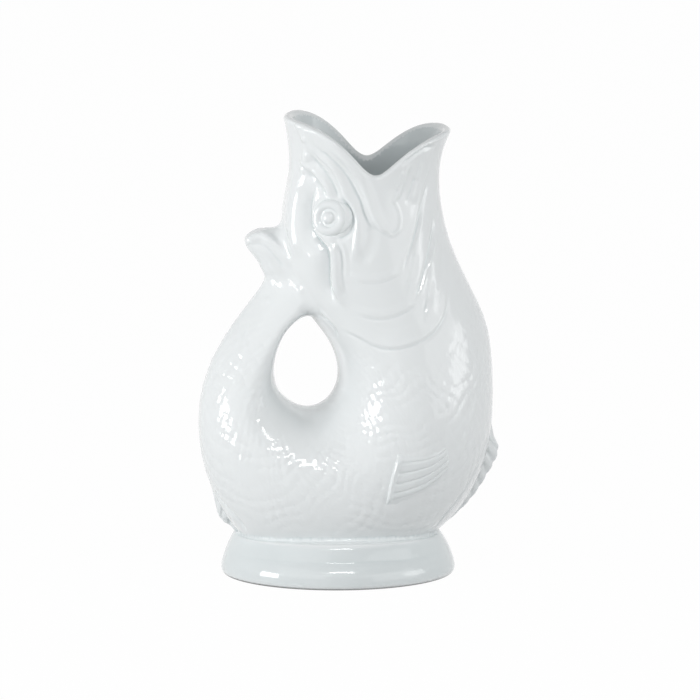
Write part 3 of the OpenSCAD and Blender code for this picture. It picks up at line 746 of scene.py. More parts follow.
def press_relief(bm, lookup, near, pull):
    """Presses folds, swellings, scales and the tail fin's rolled rim into the skin."""
    size = jug()
    bm.normal_update()
    verts = list(bm.verts)
    places = coordinates(verts)
    kinds, rows, angles = lookup.kinds[near], lookup.rows[near], lookup.angles[near]
    height = np.zeros(len(verts))
    fish = np.flatnonzero((kinds == OUTSIDE) | (kinds == LIP))
    on_outside, on_rows, on_angles = kinds[fish] == OUTSIDE, rows[fish], angles[fish]
    folds = np.zeros(len(fish))
    lumps = np.zeros(len(fish))
    for side in (-1, 1):
        for kind, half, tall, line in FOLDS:
            path, out = fold_path(line, side)
            if side > 0:
                path, out = path[::-1], out[::-1]
            folds += size.fold_depth * stroke_height(
                places[fish], kind, half * MM, tall * MM, path, out)
        for row, across, radius, tall in LUMPS:
            centre = skin(row, side * math.acos(across))
            gap = np.linalg.norm(places[fish] - centre, axis=1) / (radius * MM)
            lumps += tall * MM * np.clip(1 - gap**2, 0, 1) ** 2
    gill = SCALES_ROW - SCALES_RISE * np.clip(np.cos(on_angles) - 0.05, 0, 1) ** 1.3
    scaled = eased(on_rows, gill, gill + 0.5) * eased(SCALES_END_ROW - on_rows, 0, 0.7)
    scaled *= eased(places[fish, 2], size.foot_height, size.foot_height + SCALES_OVER_FOOT)
    scaled *= on_outside * eased(np.cos(on_angles), -0.95, -0.5)
    worn = np.sin(3.1 * on_rows + 2 * np.sin(2.3 * on_angles)) * np.cos(4.7 * on_angles)
    worn = 0.62 + 0.38 * worn
    folds += size.scale_relief * scaled * worn * (scale_pattern(on_rows, on_angles) - 0.75)
    height[fish] = folds * np.where(on_outside, pull[fish], FOLD_ON_LIP) + lumps
    by_fluke = np.isin(kinds, (OUTSIDE, FLUKE)) & (places[:, 0] < BY_FLUKE_X)
    by_fluke &= (rows < BY_FLUKE_ROWS[0]) | (rows > BY_FLUKE_ROWS[1])
    by_fluke = np.flatnonzero(by_fluke & (places[:, 2] > BY_FLUKE_HEIGHT * size.jug_height))
    flat = places[by_fluke] * (1, 0, 1)
    facing = eased(np.abs([verts[i].normal.y for i in by_fluke]), 0.1, 0.6)
    for kind, half, tall, line in FLUKE_FOLDS:
        line = open_curve(line, 12 * len(line)) * (size.body_length, size.jug_height)
        path = np.stack([line[:, 0], np.zeros(len(line)), line[:, 1]], -1)
        out = np.tile((0.0, -1.0, 0.0), (len(path), 1))
        height[by_fluke] += stroke_height(flat, kind, half * MM, tall * MM, path, out) * facing
    for vert, rise in zip(verts, height):
        vert.co += vert.normal * rise
    soften(bm, 2, factor=0.35)
    for vert in verts:
        vert.co.z = max(vert.co.z, 0.0)


def note_recesses(bm, kinds):
    """Keeps on each vertex the way out of the whole skin, and how far it lies in a recess, so that
    cut pieces still shade as one skin and the recesses get the pooled glaze tint, which also paints
    the shade that falls in them. The foot's recesses are not darkened, and painted shade is laid
    all over the inside."""
    bm.normal_update()
    normal_layer = bm.verts.layers.float_vector.new("skin_normal")
    pool_and_shade_layer = bm.verts.layers.float.new("pool_and_shade")
    verts = list(bm.verts)
    before = coordinates(verts)
    normals = np.array([vert.normal for vert in verts])
    for vert, normal in zip(verts, normals):
        vert[normal_layer] = normal
    soft = bm.copy()
    soften(soft, 10)
    sunk = np.einsum("ij,ij->i", coordinates(soft.verts) - before, normals)
    soft.free()
    depths = np.clip((sunk - POOL_AND_SHADE_FROM) / POOL_AND_SHADE_DEPTH, -1, kinds != FOOT)
    for vert, depth in zip(verts, np.where(kinds == INSIDE, INSIDE_PAINTED_SHADE, depths)):
        vert[pool_and_shade_layer] = depth


# ---------------------------------------------------------------- cutting the skin apart


def row_plane(row):
    """A point and the way along the fish of the plane that a row lies in."""
    back, front = skin(row, math.pi), skin(row, 0.0)
    reach = front - back
    return (back + front) / 2, np.array([reach[2], 0.0, -reach[0]]) / np.linalg.norm(reach)


def cut_skin(bm, lookup):
    """Cuts the skin where clay parts meet and marks each face with its part."""
    size = jug()
    part = bm.faces.layers.int.new("part")
    near = lookup.find(bm.verts)
    row_layer = bm.verts.layers.float.new("row")
    kind_layer = bm.verts.layers.int.new("kind")
    for vert, index in zip(bm.verts, near):
        vert[row_layer] = lookup.rows[index]
        vert[kind_layer] = int(lookup.kinds[index])

    def cut(verts, place, way):
        faces = {face for vert in verts for face in vert.link_faces}
        geom = faces | {e for f in faces for e in f.edges} | {v for f in faces for v in f.verts}
        bmesh.ops.bisect_plane(bm, geom=list(geom), dist=1e-7, plane_co=place, plane_no=way)

    for row in (HEAD_CUT_ROW, TAIL_CUT_ROW):
        near_row = [
            v for v in bm.verts
            if abs(v[row_layer] - row) < CUT_REACH and v[kind_layer] in (OUTSIDE, INSIDE)]
        cut(near_row, *row_plane(row))
    low = [v for v in bm.verts if v.co.z < size.foot_height + FOOT_FILLET]
    cut(low, (0, 0, size.foot_height), (0, 0, 1))
    (neck, down), (root, up) = (
        [Vector(value) for value in row_plane(row)] for row in (HEAD_CUT_ROW, TAIL_CUT_ROW))
    for face in bm.faces:
        centre = face.calc_center_median()
        row = max(vert[row_layer] for vert in face.verts)
        if centre.z < size.foot_height:
            face[part] = FOOT_PART
        elif any(vert[kind_layer] == FLUKE for vert in face.verts):
            face[part] = TAIL_PART
        elif row > TAIL_FIRST_ROW and (centre - root).dot(up) > 0:
            face[part] = TAIL_PART
        elif row < HEAD_LAST_ROW and (centre - neck).dot(down) < 0:
            face[part] = HEAD_PART
        else:
            face[part] = BELLY_PART
    even_border(bm, part)


def even_border(bm, part):
    """Evens out the border between head and tail, so that the tail's outside is one patch."""
    border = {
        face for edge in bm.edges
        if {face[part] for face in edge.link_faces} == {HEAD_PART, TAIL_PART}
        for face in edge.link_faces}
    for _ in range(4):
        for face in border:
            near = [
                other[part] for edge in face.edges for other in edge.link_faces
                if other is not face]
            tails = near.count(TAIL_PART)
            if 2 * tails != len(near) and face[part] in (HEAD_PART, TAIL_PART):
                face[part] = TAIL_PART if 2 * tails > len(near) else HEAD_PART
    left = {face for face in bm.faces if face[part] == TAIL_PART}
    while left:
        patch = [left.pop()]
        for face in patch:
            for edge in face.edges:
                for other in edge.link_faces:
                    if other in left:
                        left.remove(other)
                        patch.append(other)
        if len(patch) < SMALL_PATCH:
            for face in patch:
                face[part] = HEAD_PART


def close_ends(bm):
    """Closes a cut piece: fills between both edges of a cut wall, or within a single edge."""
    cap = bm.faces.layers.int.new("cap")
    edges = [edge for edge in bm.edges if edge.is_boundary]
    loops = []
    left = set(edges)
    while left:
        stack = [left.pop()]
        loop = []
        while stack:
            edge = stack.pop()
            loop.append(edge)
            for vert in edge.verts:
                for other in vert.link_edges:
                    if other in left:
                        left.remove(other)
                        stack.append(other)
        loops.append(loop)

    def middle(loop):
        return sum((v.co for e in loop for v in e.verts), Vector()) / (2 * len(loop))

    loops.sort(key=len, reverse=True)
    while loops:
        loop = loops.pop(0)
        mates = [
            other for other in loops if (middle(other) - middle(loop)).length < MOST_LOOP_GAP]
        if mates and len(loop) > LEAST_WALL_LOOP:
            loops.remove(mates[0])
            filled = bmesh.ops.triangle_fill(bm, edges=loop + mates[0], use_beauty=False)["geom"]
            faces = [part for part in filled if isinstance(part, bmesh.types.BMFace)]
        else:
            faces = bmesh.ops.holes_fill(bm, edges=loop)["faces"]
            faces = bmesh.ops.poke(bm, faces=faces)["faces"]
        for face in faces:
            face[cap] = 1


def part_piece(whole, number, name, nodes):
    """One clay part of the cut skin as a closed piece that shades as the whole skin does."""
    bm = whole.copy()
    layer = bm.faces.layers.int["part"]
    bmesh.ops.delete(bm, geom=[face for face in bm.faces if face[layer] != number], context="FACES")
    close_ends(bm)
    bmesh.ops.triangulate(bm, faces=bm.faces)
    for layers, layer_name in (
            (bm.verts.layers.float, "row"), (bm.verts.layers.int, "kind"),
            (bm.faces.layers.int, "part")):
        layers.remove(layers[layer_name])
    share = TRIANGLES_KEPT / len(bm.faces)
    piece = finish_piece(bm, name, nodes)
    if share < 1:
        thin = piece.modifiers.new("thin", "DECIMATE")
        thin.ratio = share
        bpy.context.view_layer.update()
        graph = bpy.context.evaluated_depsgraph_get()
        thinned = bpy.data.meshes.new_from_object(piece.evaluated_get(graph))
        piece.modifiers.clear()
        thick, piece.data = piece.data, thinned
        bpy.data.meshes.remove(thick)
        thinned.name = name
    mesh = piece.data
    out = np.empty(len(mesh.vertices) * 3)
    mesh.attributes["skin_normal"].data.foreach_get("vector", out)
    corners = np.empty(len(mesh.loops), int)
    mesh.loops.foreach_get("vertex_index", corners)
    normals = out.reshape(-1, 3)[corners]
    flat = np.empty(len(mesh.polygons) * 3)
    mesh.polygons.foreach_get("normal", flat)
    ends = np.empty(len(mesh.polygons), int)
    mesh.attributes["cap"].data.foreach_get("value", ends)
    on_cap = np.repeat(ends, 3)[:, None] > 0
    normals = np.where(on_cap, np.repeat(flat.reshape(-1, 3), 3, 0), normals)
    normals /= np.maximum(np.linalg.norm(normals, axis=1, keepdims=True), 1e-9)
    for layer_name in ("skin_normal", "cap"):
        mesh.attributes.remove(mesh.attributes[layer_name])
    mesh.normals_split_custom_set(normals)
    return piece


# ---------------------------------------------------------------- finishes


def node(tree, kind, x, y, feeds=None, modes=None, **inputs):
    """Adds a shader node, with its modes, values of its inputs and the outputs that feed them."""
    made = tree.nodes.new(kind)
    made.location = (x, y)
    for name, value in (modes or {}).items():
        setattr(made, name, value)
    for name, value in inputs.items():
        made.inputs[name.replace("_", " ")].default_value = value
    feed(tree, made, feeds or {})
    return made


def feed(tree, made, feeds):
    """Links outputs of other nodes to a node's inputs."""
    for socket, output in feeds.items():
        tree.links.new(output, made.inputs[socket])


def noise(tree, x, y, **inputs):
    """Noise over the jug's own coordinates."""
    where = node(tree, "ShaderNodeTexCoord", x - 200, y)
    made = node(tree, "ShaderNodeTexNoise", x, y, {"Vector": where.outputs["Object"]}, **inputs)
    return made.outputs["Fac"]


def two_tones(tree, x, y, share, *stops):
    """Runs from one colour to another between two places of a share."""
    made = node(tree, "ShaderNodeValToRGB", x, y, {"Fac": share})
    for element, (place, colour) in zip(made.color_ramp.elements, stops):
        element.position, element.color = place, (*colour, 1)
    return made.outputs["Color"]


def new_material(name):
    """A new material, its node tree and its shader."""
    material = bpy.data.materials.new(name)
    material.use_nodes = True
    return material, material.node_tree, material.node_tree.nodes["Principled BSDF"]


# Share of the pooled glaze tint laid on the foot as painted shade, and how much clouds in the glaze
# add
FOOT_PAINTED_SHADE = 0.68
CLOUD_TINT = 0.22
# Heights between which a painted contact shadow, near black, darkens the edge that stands on the
# table
CONTACT_SHADOW_HEIGHTS = (0.8 * MM, 1.6 * MM)


def glaze():
    """White glaze: cool and glassy, thicker and tinted in the recesses and on the foot, the tint
    also being painted shade there and inside, with a near-black painted contact shadow on the edge
    that stands on the table."""
    found = bpy.data.materials.get("white_glaze_skin")
    if found:
        return found
    size = jug()
    material, tree, shader = new_material("white_glaze_skin")
    shader.inputs["IOR"].default_value = 1.5
    shader.inputs["Roughness"].default_value = 0.09
    where = node(tree, "ShaderNodeTexCoord", -1300, 520)
    place = node(tree, "ShaderNodeSeparateXYZ", -1100, 520, {"Vector": where.outputs["Object"]})
    height = place.outputs["Z"]
    # pooled glaze tint in the recesses, which also paints their shade, and painted shade all over
    # the inside
    pool_and_shade = node(tree, "ShaderNodeAttribute", -1100, 200, modes={"attribute_name": "pool_and_shade"})
    # painted shade on the foot: full tint below the seat, fading out up to the seat's rise
    low = node(
        tree, "ShaderNodeMapRange", -880, 400, {"Value": height}, To_Min=FOOT_PAINTED_SHADE, To_Max=0.0,
        From_Min=size.foot_height - 0.5 * MM, From_Max=size.foot_height + SEAT_RISE)
    thick = node(
        tree, "ShaderNodeMath", -660, 360, {0: pool_and_shade.outputs["Fac"], 1: low.outputs["Result"]})
    cloud = noise(tree, -880, 0, Scale=38.0, Detail=3.0, Roughness=0.55)
    depth = node(
        tree, "ShaderNodeMath", -480, 200, {0: cloud, 2: thick.outputs[0]},
        {"operation": "MULTIPLY_ADD"})
    depth.inputs[1].default_value = CLOUD_TINT
    tint = two_tones(
        tree, -300, 200, depth.outputs[0], (0.0, size.glaze_colour), (1.0, size.pooled_and_shaded_colour))
    # painted contact shadow: a near-black colour on the foot's lowest edge, where it meets the
    # table
    edge = node(
        tree, "ShaderNodeMapRange", -300, 480, {"Value": height},
        From_Min=CONTACT_SHADOW_HEIGHTS[0], From_Max=CONTACT_SHADOW_HEIGHTS[1])
    shadowed = node(
        tree, "ShaderNodeMix", -180, 300, {"Factor": edge.outputs["Result"], "B": tint},
        {"data_type": "RGBA"}, A=(*size.contact_shadow_colour, 1))
    sheen = noise(tree, -880, -300, Scale=160.0, Detail=2.0)
    gloss = node(tree, "ShaderNodeMapRange", -660, -200, {"Value": sheen}, To_Min=0.05, To_Max=0.13)
    ripple = noise(tree, -880, -600, Scale=260.0, Detail=2.0)
    bump = node(
        tree, "ShaderNodeBump", -400, -500, {"Height": ripple}, Strength=0.25, Distance=0.12 * MM)
    feed(tree, shader, {
        "Base Color": shadowed.outputs["Result"], "Roughness": gloss.outputs["Result"],
        "Normal": bump.outputs["Normal"]})
    return material


def bare_clay():
    """Unglazed fired clay: matt, warm and gritty, with darker grains."""
    colour = jug().clay_colour
    material, tree, shader = new_material("bare_fired_clay")
    shader.inputs["Roughness"].default_value = 0.85
    grit = noise(tree, -900, 100, Scale=700.0, Detail=4.0, Roughness=0.7)
    tint = two_tones(tree, -600, 100, grit, (0.3, [0.7 * c for c in colour]), (0.62, colour))
    bump = node(
        tree, "ShaderNodeBump", -400, -300, {"Height": grit}, Strength=0.5, Distance=0.3 * MM)
    feed(tree, shader, {"Base Color": tint, "Normal": bump.outputs["Normal"]})
    return material


# ---------------------------------------------------------------- eyes and fins


def skin_steps(row, angle):
    """How far one row and one radian go on the skin at a place, in metres."""
    step = 0.02
    down = np.linalg.norm(skin(row + step, angle) - skin(row - step, angle)) / (2 * step)
    round_it = np.linalg.norm(skin(row, angle + step) - skin(row, angle - step)) / (2 * step)
    return down, round_it


def turned_on_skin(bm, profile, row, angle, segments=72):
    """Spins a profile of radius and height, then wraps it on to the fish's skin at a place."""
    before = bm.calc_volume(signed=True)
    made = [bmesh.ops.create_vert(bm, co=(r, 0, h))["vert"][0] for r, h in profile]
    edges = [bm.edges.new(pair) for pair in zip(made, made[1:])]
    bmesh.ops.spin(
        bm, geom=made + edges, cent=(0, 0, 0), axis=(0, 0, 1), angle=FULL_TURN, steps=segments,
        use_merge=True)
    verts = {v for e in edges for v in e.verts} | {v for v in bm.verts if v.is_valid and not v.tag}
    bmesh.ops.remove_doubles(bm, verts=list(verts), dist=1e-6)
    verts = [v for v in bm.verts if not v.tag]
    down, round_it = skin_steps(row, angle)
    places = coordinates(verts)
    wrapped = skin(row + places[:, 1] / down, angle + places[:, 0] / round_it, places[:, 2])
    for vert, place in zip(verts, wrapped):
        vert.co = place
        vert.tag = True
    faces = [face for face in bm.faces if not face.tag]
    if bm.calc_volume(signed=True) < before:
        bmesh.ops.reverse_faces(bm, faces=faces)
    for face in faces:
        face.tag = True


# Places of the eyeball and pupil, as row and across, and profiles, as radius and height mm
EYE_PLACE = (3.86, -0.4)
PUPIL_PLACE = (3.87, -0.48)
EYEBALL_PROFILE = (
    (0, 1.5), (2.5, 1.55), (5.0, 1.5), (6.6, 1.3), (7.8, 0.9), (8.6, 0.2), (8.9, -0.7), (8.7, -2.4),
    (0, -2.6),
)
PUPIL_PROFILE = (
    (0, 3.0), (1.4, 2.85), (2.5, 2.4), (3.2, 1.75), (3.7, 1.15), (4.1, 0.95), (4.6, 1.2),
    (5.2, 1.8), (5.9, 2.2), (6.7, 2.35), (7.6, 2.25), (8.4, 1.95), (9.1, 1.4), (9.7, 0.6),
    (10.1, -0.3), (10.2, -0.8), (0, -0.9),
)


# Section of a crest fin from root to edge and back: lift and way out to the side
FIN_SECTION = np.array([
    (0, 1), (0.15, 0.86), (0.3, 0.72), (0.45, 0.58), (0.6, 0.45), (0.75, 0.33), (0.88, 0.22),
    (0.97, 0.11), (0.97, -0.11), (0.88, -0.22), (0.75, -0.33), (0.6, -0.45), (0.45, -0.58),
    (0.3, -0.72), (0.15, -0.86), (0, -1),
])
# Outlines of the crest fins, as row and height mm
BELLY_FIN = (
    (9.48, 0.0), (9.6, 0.9), (9.74, 2.2), (9.86, 4.2), (9.96, 6.3), (10.08, 6.9), (10.25, 6.5),
    (10.4, 5.9), (10.55, 5.1), (10.75, 4.5), (10.95, 3.9), (11.15, 3.2), (11.35, 2.3), (11.55, 1.5),
    (11.75, 0.9), (11.95, 0.2),
)
ANAL_FIN = (
    (16.25, 0.0), (16.1, 1.0), (16.0, 2.3), (15.9, 3.6), (15.78, 4.2), (15.68, 3.4), (15.58, 2.0),
    (15.5, 1.6), (15.4, 1.5), (15.28, 0.8), (15.18, 0.0),
)
# The crest fins, with their thickness, the row of a rib, the ribs' pitch in rows and their slant
CREST_FINS = (
    ("belly_fin", BELLY_FIN, (18 * MM, 9.85, 0.26, 0.8)),
    ("anal_fin", ANAL_FIN, (16 * MM, 15.88, -0.22, 0.6)),
)


def ribbed_fin(outline, thick, first_rib, rib_pitch, slant):
    """A crest on the belly's edge, cut by grooves that are deepest at its root."""
    rings = []
    root = 2.2 * MM
    outline = np.array(outline)
    peak = outline[:, 1].max()
    for s, tall in open_curve(outline, 16 * len(outline)):
        place, out = outward(s, 0.0)
        tall = max(tall, 0.0)
        ring = []
        for lift, side in FIN_SECTION:
            turn = (s - first_rib) / rib_pitch - slant * lift
            groove = math.exp(-(((turn - round(turn)) / 0.2) ** 2))
            rise = (tall * MM * (1 - 0.1 * groove) + root) * lift - root
            half = thick / 2 * side * (0.4 + 0.6 * (tall / peak) ** 0.6)
            half *= 1 - 0.34 * groove * (1 - 0.5 * lift)
            ring.append(place + out * rise + (0, half, 0))
        rings.append(ring)
    return shell(np.array(rings))


# Upper, middle and lower line of the side fin from its root to its tip, as row and across
SIDE_FIN_LINES = (
    (11.16, -0.14, 11.82, -0.01, 12.29, 0.22), (11.03, -0.06, 11.7, 0.06, 12.15, 0.25),
    (10.83, 0.06, 11.43, 0.15, 11.88, 0.3), (10.65, 0.17, 11.15, 0.25, 11.55, 0.38),
    (10.44, 0.28, 10.83, 0.35, 11.18, 0.45), (10.28, 0.34, 10.56, 0.42, 10.85, 0.5),
    (10.2, 0.37, 10.42, 0.45, 10.66, 0.52),
)
# Height of the side fin from its root to its tip, and its grooves from upper to lower edge
SIDE_FIN_LIFT = (
    (0, 0.0), (0.03, 0.75), (0.065, 1.0), (0.1, 0.75), (0.15, 0.45), (0.5, 0.34), (0.85, 0.28),
    (1, 0.0),
)
SIDE_FIN_GROOVES = (0.15, 0.35, 0.56, 0.75, 0.9)


def side_fin(side):
    """A side fin: a low fan of rays with a raised root, lying on the belly."""
    size = jug()
    v = np.linspace(0, 1, 101)
    crown = eased(v, 0, 0.17) * eased(1 - v, 0, 0.18)
    cut = sum(np.exp(-(((v - place) / 0.03) ** 2)) for place in SIDE_FIN_GROOVES)
    lines = open_curve(SIDE_FIN_LINES, 90)
    rings = []
    pulls = ((1 - v) * (1 - 2 * v), 4 * v * (1 - v), v * (2 * v - 1))
    for out, line in zip(np.linspace(0, 1, len(lines)), lines):
        rows = sum(pull * row for pull, row in zip(pulls, line[0::2]))
        across = sum(pull * place for pull, place in zip(pulls, line[1::2]))
        angle = side * np.arccos(across)
        lift = np.interp(out, *np.transpose(SIDE_FIN_LIFT))
        rays = 0.2 * cut * eased(out, 0.08, 0.16) * eased(1 - out, 0.02, 0.2)
        top = skin(rows, angle, size.side_fin_height * crown * (lift - rays) - 0.05 * MM)
        under = skin(rows[::-1], angle[::-1], -1.4 * MM)
        rings.append(np.concatenate([top, under]))
    return shell(np.array(rings))


# ---------------------------------------------------------------- sizes, operators and panel


class GurgleJugSizes(bpy.types.PropertyGroup):
    """Sizes and colours of the jug that a user would change."""

    jug_height: FloatProperty(
        name="Height", description="Height of the jug to its upper lip", unit="LENGTH", precision=4,
        default=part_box("head")[1].z / LIP_TOP_SHARE)
    body_length: FloatProperty(
        name="Length", description="Driving length of the fish from tail to belly", unit="LENGTH",
        precision=4, default=-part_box("tail_handle")[0].x / TAIL_BACK_SHARE)
    body_width: FloatProperty(
        name="Width", description="Width of the belly", unit="LENGTH", precision=4,
        default=(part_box("belly")[1].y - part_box("belly")[0].y) / BELLY_WIDE_SHARE)
    wall: FloatProperty(
        name="Wall", description="Thickness of the clay wall", unit="LENGTH", precision=4,
        default=0.005)
    foot_height: FloatProperty(
        name="Foot Height", description="Height of the foot to its seat on the belly",
        unit="LENGTH", precision=4, default=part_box("foot")[1].z)
    foot_diameter: FloatProperty(
        name="Foot Diameter", description="Diameter of the foot at its widest", unit="LENGTH",
        precision=4, default=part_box("foot")[1].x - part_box("foot")[0].x)
    foot_shoulder: FloatProperty(
        name="Foot Shoulder", description="Width of the foot's shoulder round the belly",
        unit="LENGTH", precision=4, default=0.0026)
    slab_gap: FloatProperty(
        name="Slab Gap", description="Gap round the slab in the foot", unit="LENGTH", precision=5,
        default=0.00015)
    fluke_thickness: FloatProperty(
        name="Tail Fin Thickness", description="Thickness of the tail fin", unit="LENGTH",
        precision=4, default=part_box("tail_fin")[1].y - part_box("tail_fin")[0].y)
    side_fin_height: FloatProperty(
        name="Side Fin Height", description="How far a side fin stands off the belly",
        unit="LENGTH", precision=4, default=0.0024)
    fold_depth: FloatProperty(
        name="Fold Depth", description="Strength of the folds of the head", subtype="FACTOR",
        default=1.0)
    scale_relief: FloatProperty(
        name="Scale Relief", description="Height of the scales", unit="LENGTH", precision=5,
        default=0.0009)
    scale_size: FloatProperty(
        name="Scale Size", description="Distance between scales of a row", unit="LENGTH",
        precision=4, default=0.0085)
    clay_grain: FloatProperty(
        name="Clay Grain", description="Fineness at which the skin is joined", unit="LENGTH",
        precision=5, default=0.00135)
    glaze_colour: FloatVectorProperty(
        name="Glaze", description="Colour of the glaze", subtype="COLOR",
        default=(0.81, 0.835, 0.84))
    # Pooled glaze and painted shade: the tint that darkens the recesses, the inside and the foot
    pooled_and_shaded_colour: FloatVectorProperty(
        name="Pooled Glaze", description="Colour of the glaze where it pools", subtype="COLOR",
        default=(0.60, 0.66, 0.67))
    # Painted contact shadow: the near-black colour laid on the foot's lowest edge
    contact_shadow_colour: FloatVectorProperty(
        name="Foot Edge", description="Colour of the wiped edge under the foot", subtype="COLOR",
        default=(0.05, 0.05, 0.055))
    clay_colour: FloatVectorProperty(
        name="Bare Clay", description="Colour of the unglazed clay", subtype="COLOR",
        default=(0.74, 0.69, 0.61))


class GURGLE_JUG_OT_skin(bpy.types.Operator):
    """Makes the foot, belly, head and tail from one joined skin"""

    bl_idname = "gurgle_jug.skin"
    bl_label = "Foot, Belly, Head and Tail"

    def execute(self, context):
        middle = middle_tree()
        lookup = Skin(sample_sets(middle))
        bm = joined_skin(middle, lookup)
        near, pull = settle(bm, lookup, 2 * FILLET_RINGS)
        press_relief(bm, lookup, near, pull)
        note_recesses(bm, lookup.kinds[near])
        cut_skin(bm, lookup)
        sides = ("right", "left")
        head_nodes = ["head"] + [
            f"{side}_{fold}" for side in sides
            for fold in ("jaw_plate", "brow_fold", "cheek_fold", "throat_fold", "gill_cover")]
        part_piece(bm, FOOT_PART, "glazed_foot", ["foot"])
        part_piece(bm, HEAD_PART, "glazed_head", head_nodes)
        part_piece(bm, BELLY_PART, "glazed_belly", ["belly"])
        part_piece(bm, TAIL_PART, "glazed_tail", ["tail_handle", "tail_fin"])
        bm.free()
        return {"FINISHED"}


class GURGLE_JUG_OT_eyes(bpy.types.Operator):
    """Turns both eyes: an eyeball with a ring and a domed pupil"""

    bl_idname = "gurgle_jug.eyes"
    bl_label = "Eyes"

    def execute(self, context):
        for name, side in (("right_eye", -1), ("left_eye", 1)):
            bm = bmesh.new()
            for (row, across), profile in (
                    (EYE_PLACE, EYEBALL_PROFILE), (PUPIL_PLACE, PUPIL_PROFILE)):
                turned_on_skin(
                    bm, [(r * MM, h * MM) for r, h in profile], row, side * math.acos(across))
            finish_piece(bm, f"glazed_{name}", [name])
        return {"FINISHED"}


class GURGLE_JUG_OT_fins(bpy.types.Operator):
    """Makes the ribbed fins under the belly and tail, and the two side fins"""

    bl_idname = "gurgle_jug.fins"
    bl_label = "Fins"

    def execute(self, context):
        for name, outline, ribs in CREST_FINS:
            finish_piece(ribbed_fin(outline, *ribs), f"glazed_{name}", [name])
        for name, side in (("right_pectoral_fin", -1), ("left_pectoral_fin", 1)):
            finish_piece(side_fin(side), f"glazed_{name}", [name])
        return {"FINISHED"}


class GURGLE_JUG_OT_slab(bpy.types.Operator):
    """Gives the slab under the foot its bare fired clay"""

    bl_idname = "gurgle_jug.slab"
    bl_label = "Floor Slab"

    def execute(self, context):
        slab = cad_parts["floor_slab"]
        slab.data.materials.clear()
        slab.data.materials.append(bare_clay())
        return {"FINISHED"}


# The photograph's view: degrees turned and raised about the jug, and what its middle looks at
VIEW_AZIMUTH = -4.5
VIEW_ELEVATION = 10.3
VIEW_DISTANCE = 12.0
VIEW_WIDTH = 0.371
SENSOR_WIDTH = 36
VIEW_TARGET = (0.00635, -0.0005, 0.11905)
# Lamps, as name, degrees from the front and up, width, height and watts
LAMPS = (
    ("left_softbox", -74, 7, 0.46, 0.36, 6.2),
    ("left_fill", -42, 26, 1.2, 1.0, 2.6),
    ("right_softbox", 76, 9, 0.58, 0.4, 1.7),
    ("right_fill", 54, 10, 1.2, 0.9, 4.1),
    ("front_top_strip", 0, 45, 0.5, 0.1, 2.5),
)
LAMP_DISTANCE = 1.25
FLOOR_WHITE_SHARE = 0.985


def show_white(tree, output, plain, white, share=1.0):
    """Shows white in place of the plain shader to the camera, in reflections and through glass."""
    path = node(tree, "ShaderNodeLightPath", -600, 300)
    seen = path.outputs["Is Camera Ray"]
    for x, ray in ((-400, "Is Glossy Ray"), (-200, "Is Transmission Ray")):
        seen = node(
            tree, "ShaderNodeMath", x, 300, {0: seen, 1: path.outputs[ray]},
            {"operation": "MAXIMUM"}).outputs[0]
    part = node(tree, "ShaderNodeMath", 0, 300, {0: seen}, {"operation": "MULTIPLY"})
    part.inputs[1].default_value = share
    mix = node(
        tree, "ShaderNodeMixShader", 200, 0, {"Fac": part.outputs[0], 1: plain, 2: white})
    feed(tree, tree.nodes[output], {"Surface": mix.outputs["Shader"]})


def hung(name, data, azimuth, elevation, distance):
    """Hangs a lamp or a camera some way from the jug, pointing at it."""
    a, e = math.radians(azimuth), math.radians(elevation)
    way = Vector((math.sin(a) * math.cos(e), -math.cos(a) * math.cos(e), math.sin(e)))
    holder = bpy.data.objects.new(name, data)
    holder.location = Vector(VIEW_TARGET) + way * distance
    holder.rotation_euler = way.to_track_quat("Z", "Y").to_euler()
    bpy.context.scene.collection.objects.link(holder)
    return holder


def floor_paper():
    """Matt pale paper that the camera sees as nearly white."""
    material, tree, shader = new_material("floor_paper")
    shader.inputs["Base Color"].default_value = (0.72, 0.72, 0.72, 1)
    shader.inputs["Roughness"].default_value = 1.0
    shader.inputs["Specular IOR Level"].default_value = 0.0
    white = node(tree, "ShaderNodeEmission", -200, -300, Strength=1.0)
    show_white(
        tree, "Material Output", shader.outputs["BSDF"], white.outputs["Emission"],
        FLOOR_WHITE_SHARE)
    return material


def studio():
    """A soft, cool room that is dimmer overhead and that the camera sees as white."""
    world = bpy.data.worlds.new("studio")
    world.use_nodes = True
    tree = world.node_tree
    where = node(tree, "ShaderNodeTexCoord", -1000, 0)
    way = node(tree, "ShaderNodeSeparateXYZ", -800, 0, {"Vector": where.outputs["Generated"]})
    dimmed = node(
        tree, "ShaderNodeMapRange", -400, 0, {"Value": way.outputs["Z"]},
        {"interpolation_type": "SMOOTHSTEP"}, From_Min=0.35, From_Max=0.9, To_Min=0.45, To_Max=0.16)
    soft = tree.nodes["Background"]
    soft.inputs["Color"].default_value = (0.97, 0.99, 1.0, 1)
    feed(tree, soft, {"Strength": dimmed.outputs["Result"]})
    white = node(
        tree, "ShaderNodeBackground", -200, -300, Color=(1, 1, 1, 1), Strength=1.0)
    show_white(tree, "World Output", soft.outputs["Background"], white.outputs["Background"])
    return world


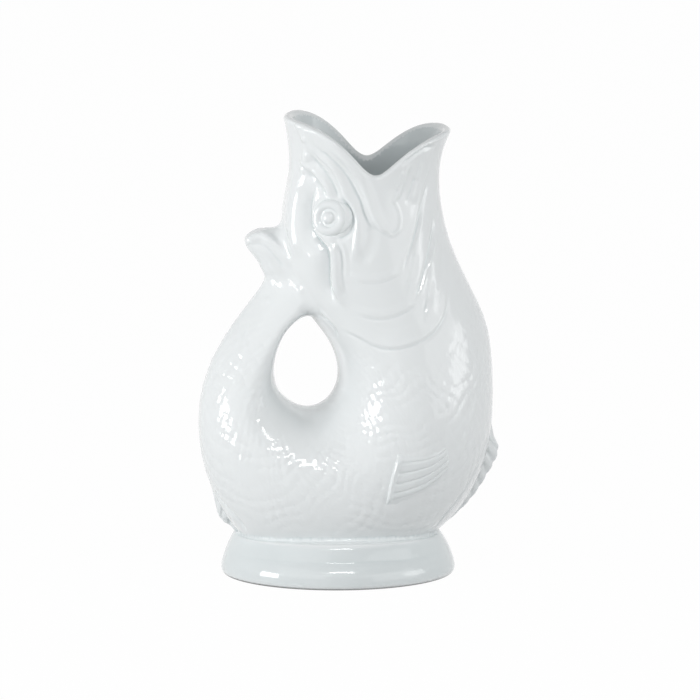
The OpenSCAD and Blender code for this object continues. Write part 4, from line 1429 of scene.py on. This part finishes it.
class GURGLE_JUG_OT_stage(bpy.types.Operator):
    """Sets the floor, the soft studio light and the camera"""

    bl_idname = "gurgle_jug.stage"
    bl_label = "Stage"

    def execute(self, context):
        scene = context.scene
        scene.view_settings.view_transform = "Standard"
        bm = bmesh.new()
        bmesh.ops.create_grid(bm, x_segments=1, y_segments=1, size=6.0)
        mesh = bpy.data.meshes.new("studio_floor")
        bm.to_mesh(mesh)
        bm.free()
        floor = bpy.data.objects.new("studio_floor", mesh)
        scene.collection.objects.link(floor)
        mesh.materials.append(floor_paper())
        scene.world = studio()
        for name, azimuth, elevation, width, height, watts in LAMPS:
            lamp = bpy.data.lights.new(name, "AREA")
            lamp.shape = "RECTANGLE"
            lamp.size, lamp.size_y, lamp.energy = width, height, watts
            hung(name, lamp, azimuth, elevation, LAMP_DISTANCE)
        lens = bpy.data.cameras.new("photo_view")
        lens.sensor_width = SENSOR_WIDTH
        lens.lens = SENSOR_WIDTH * VIEW_DISTANCE / VIEW_WIDTH
        scene.camera = hung("photo_view", lens, VIEW_AZIMUTH, VIEW_ELEVATION, VIEW_DISTANCE)
        return {"FINISHED"}


class GURGLE_JUG_PT_pieces(bpy.types.Panel):
    """Lists the jug's pieces and sizes"""

    bl_idname = "GURGLE_JUG_PT_pieces"
    bl_label = "Gurgle Jug"
    bl_space_type = "VIEW_3D"
    bl_region_type = "UI"
    bl_category = "Jug"

    def draw(self, context):
        for operator in OPERATORS:
            self.layout.operator(operator.bl_idname)
        for name in GurgleJugSizes.__annotations__:
            self.layout.prop(context.scene.gurgle_jug, name)


OPERATORS = (
    GURGLE_JUG_OT_skin, GURGLE_JUG_OT_eyes, GURGLE_JUG_OT_fins, GURGLE_JUG_OT_slab,
    GURGLE_JUG_OT_stage)


def register():
    for cls in (GurgleJugSizes, *OPERATORS, GURGLE_JUG_PT_pieces):
        bpy.utils.register_class(cls)
    bpy.types.Scene.gurgle_jug = PointerProperty(type=GurgleJugSizes)


def unregister():
    del bpy.types.Scene.gurgle_jug
    for cls in (GURGLE_JUG_PT_pieces, *reversed(OPERATORS), GurgleJugSizes):
        bpy.utils.unregister_class(cls)


def main():
    register()
    bpy.ops.gurgle_jug.skin()
    bpy.ops.gurgle_jug.eyes()
    bpy.ops.gurgle_jug.fins()
    bpy.ops.gurgle_jug.slab()
    bpy.ops.gurgle_jug.stage()


if __name__ == "__main__":
    main()
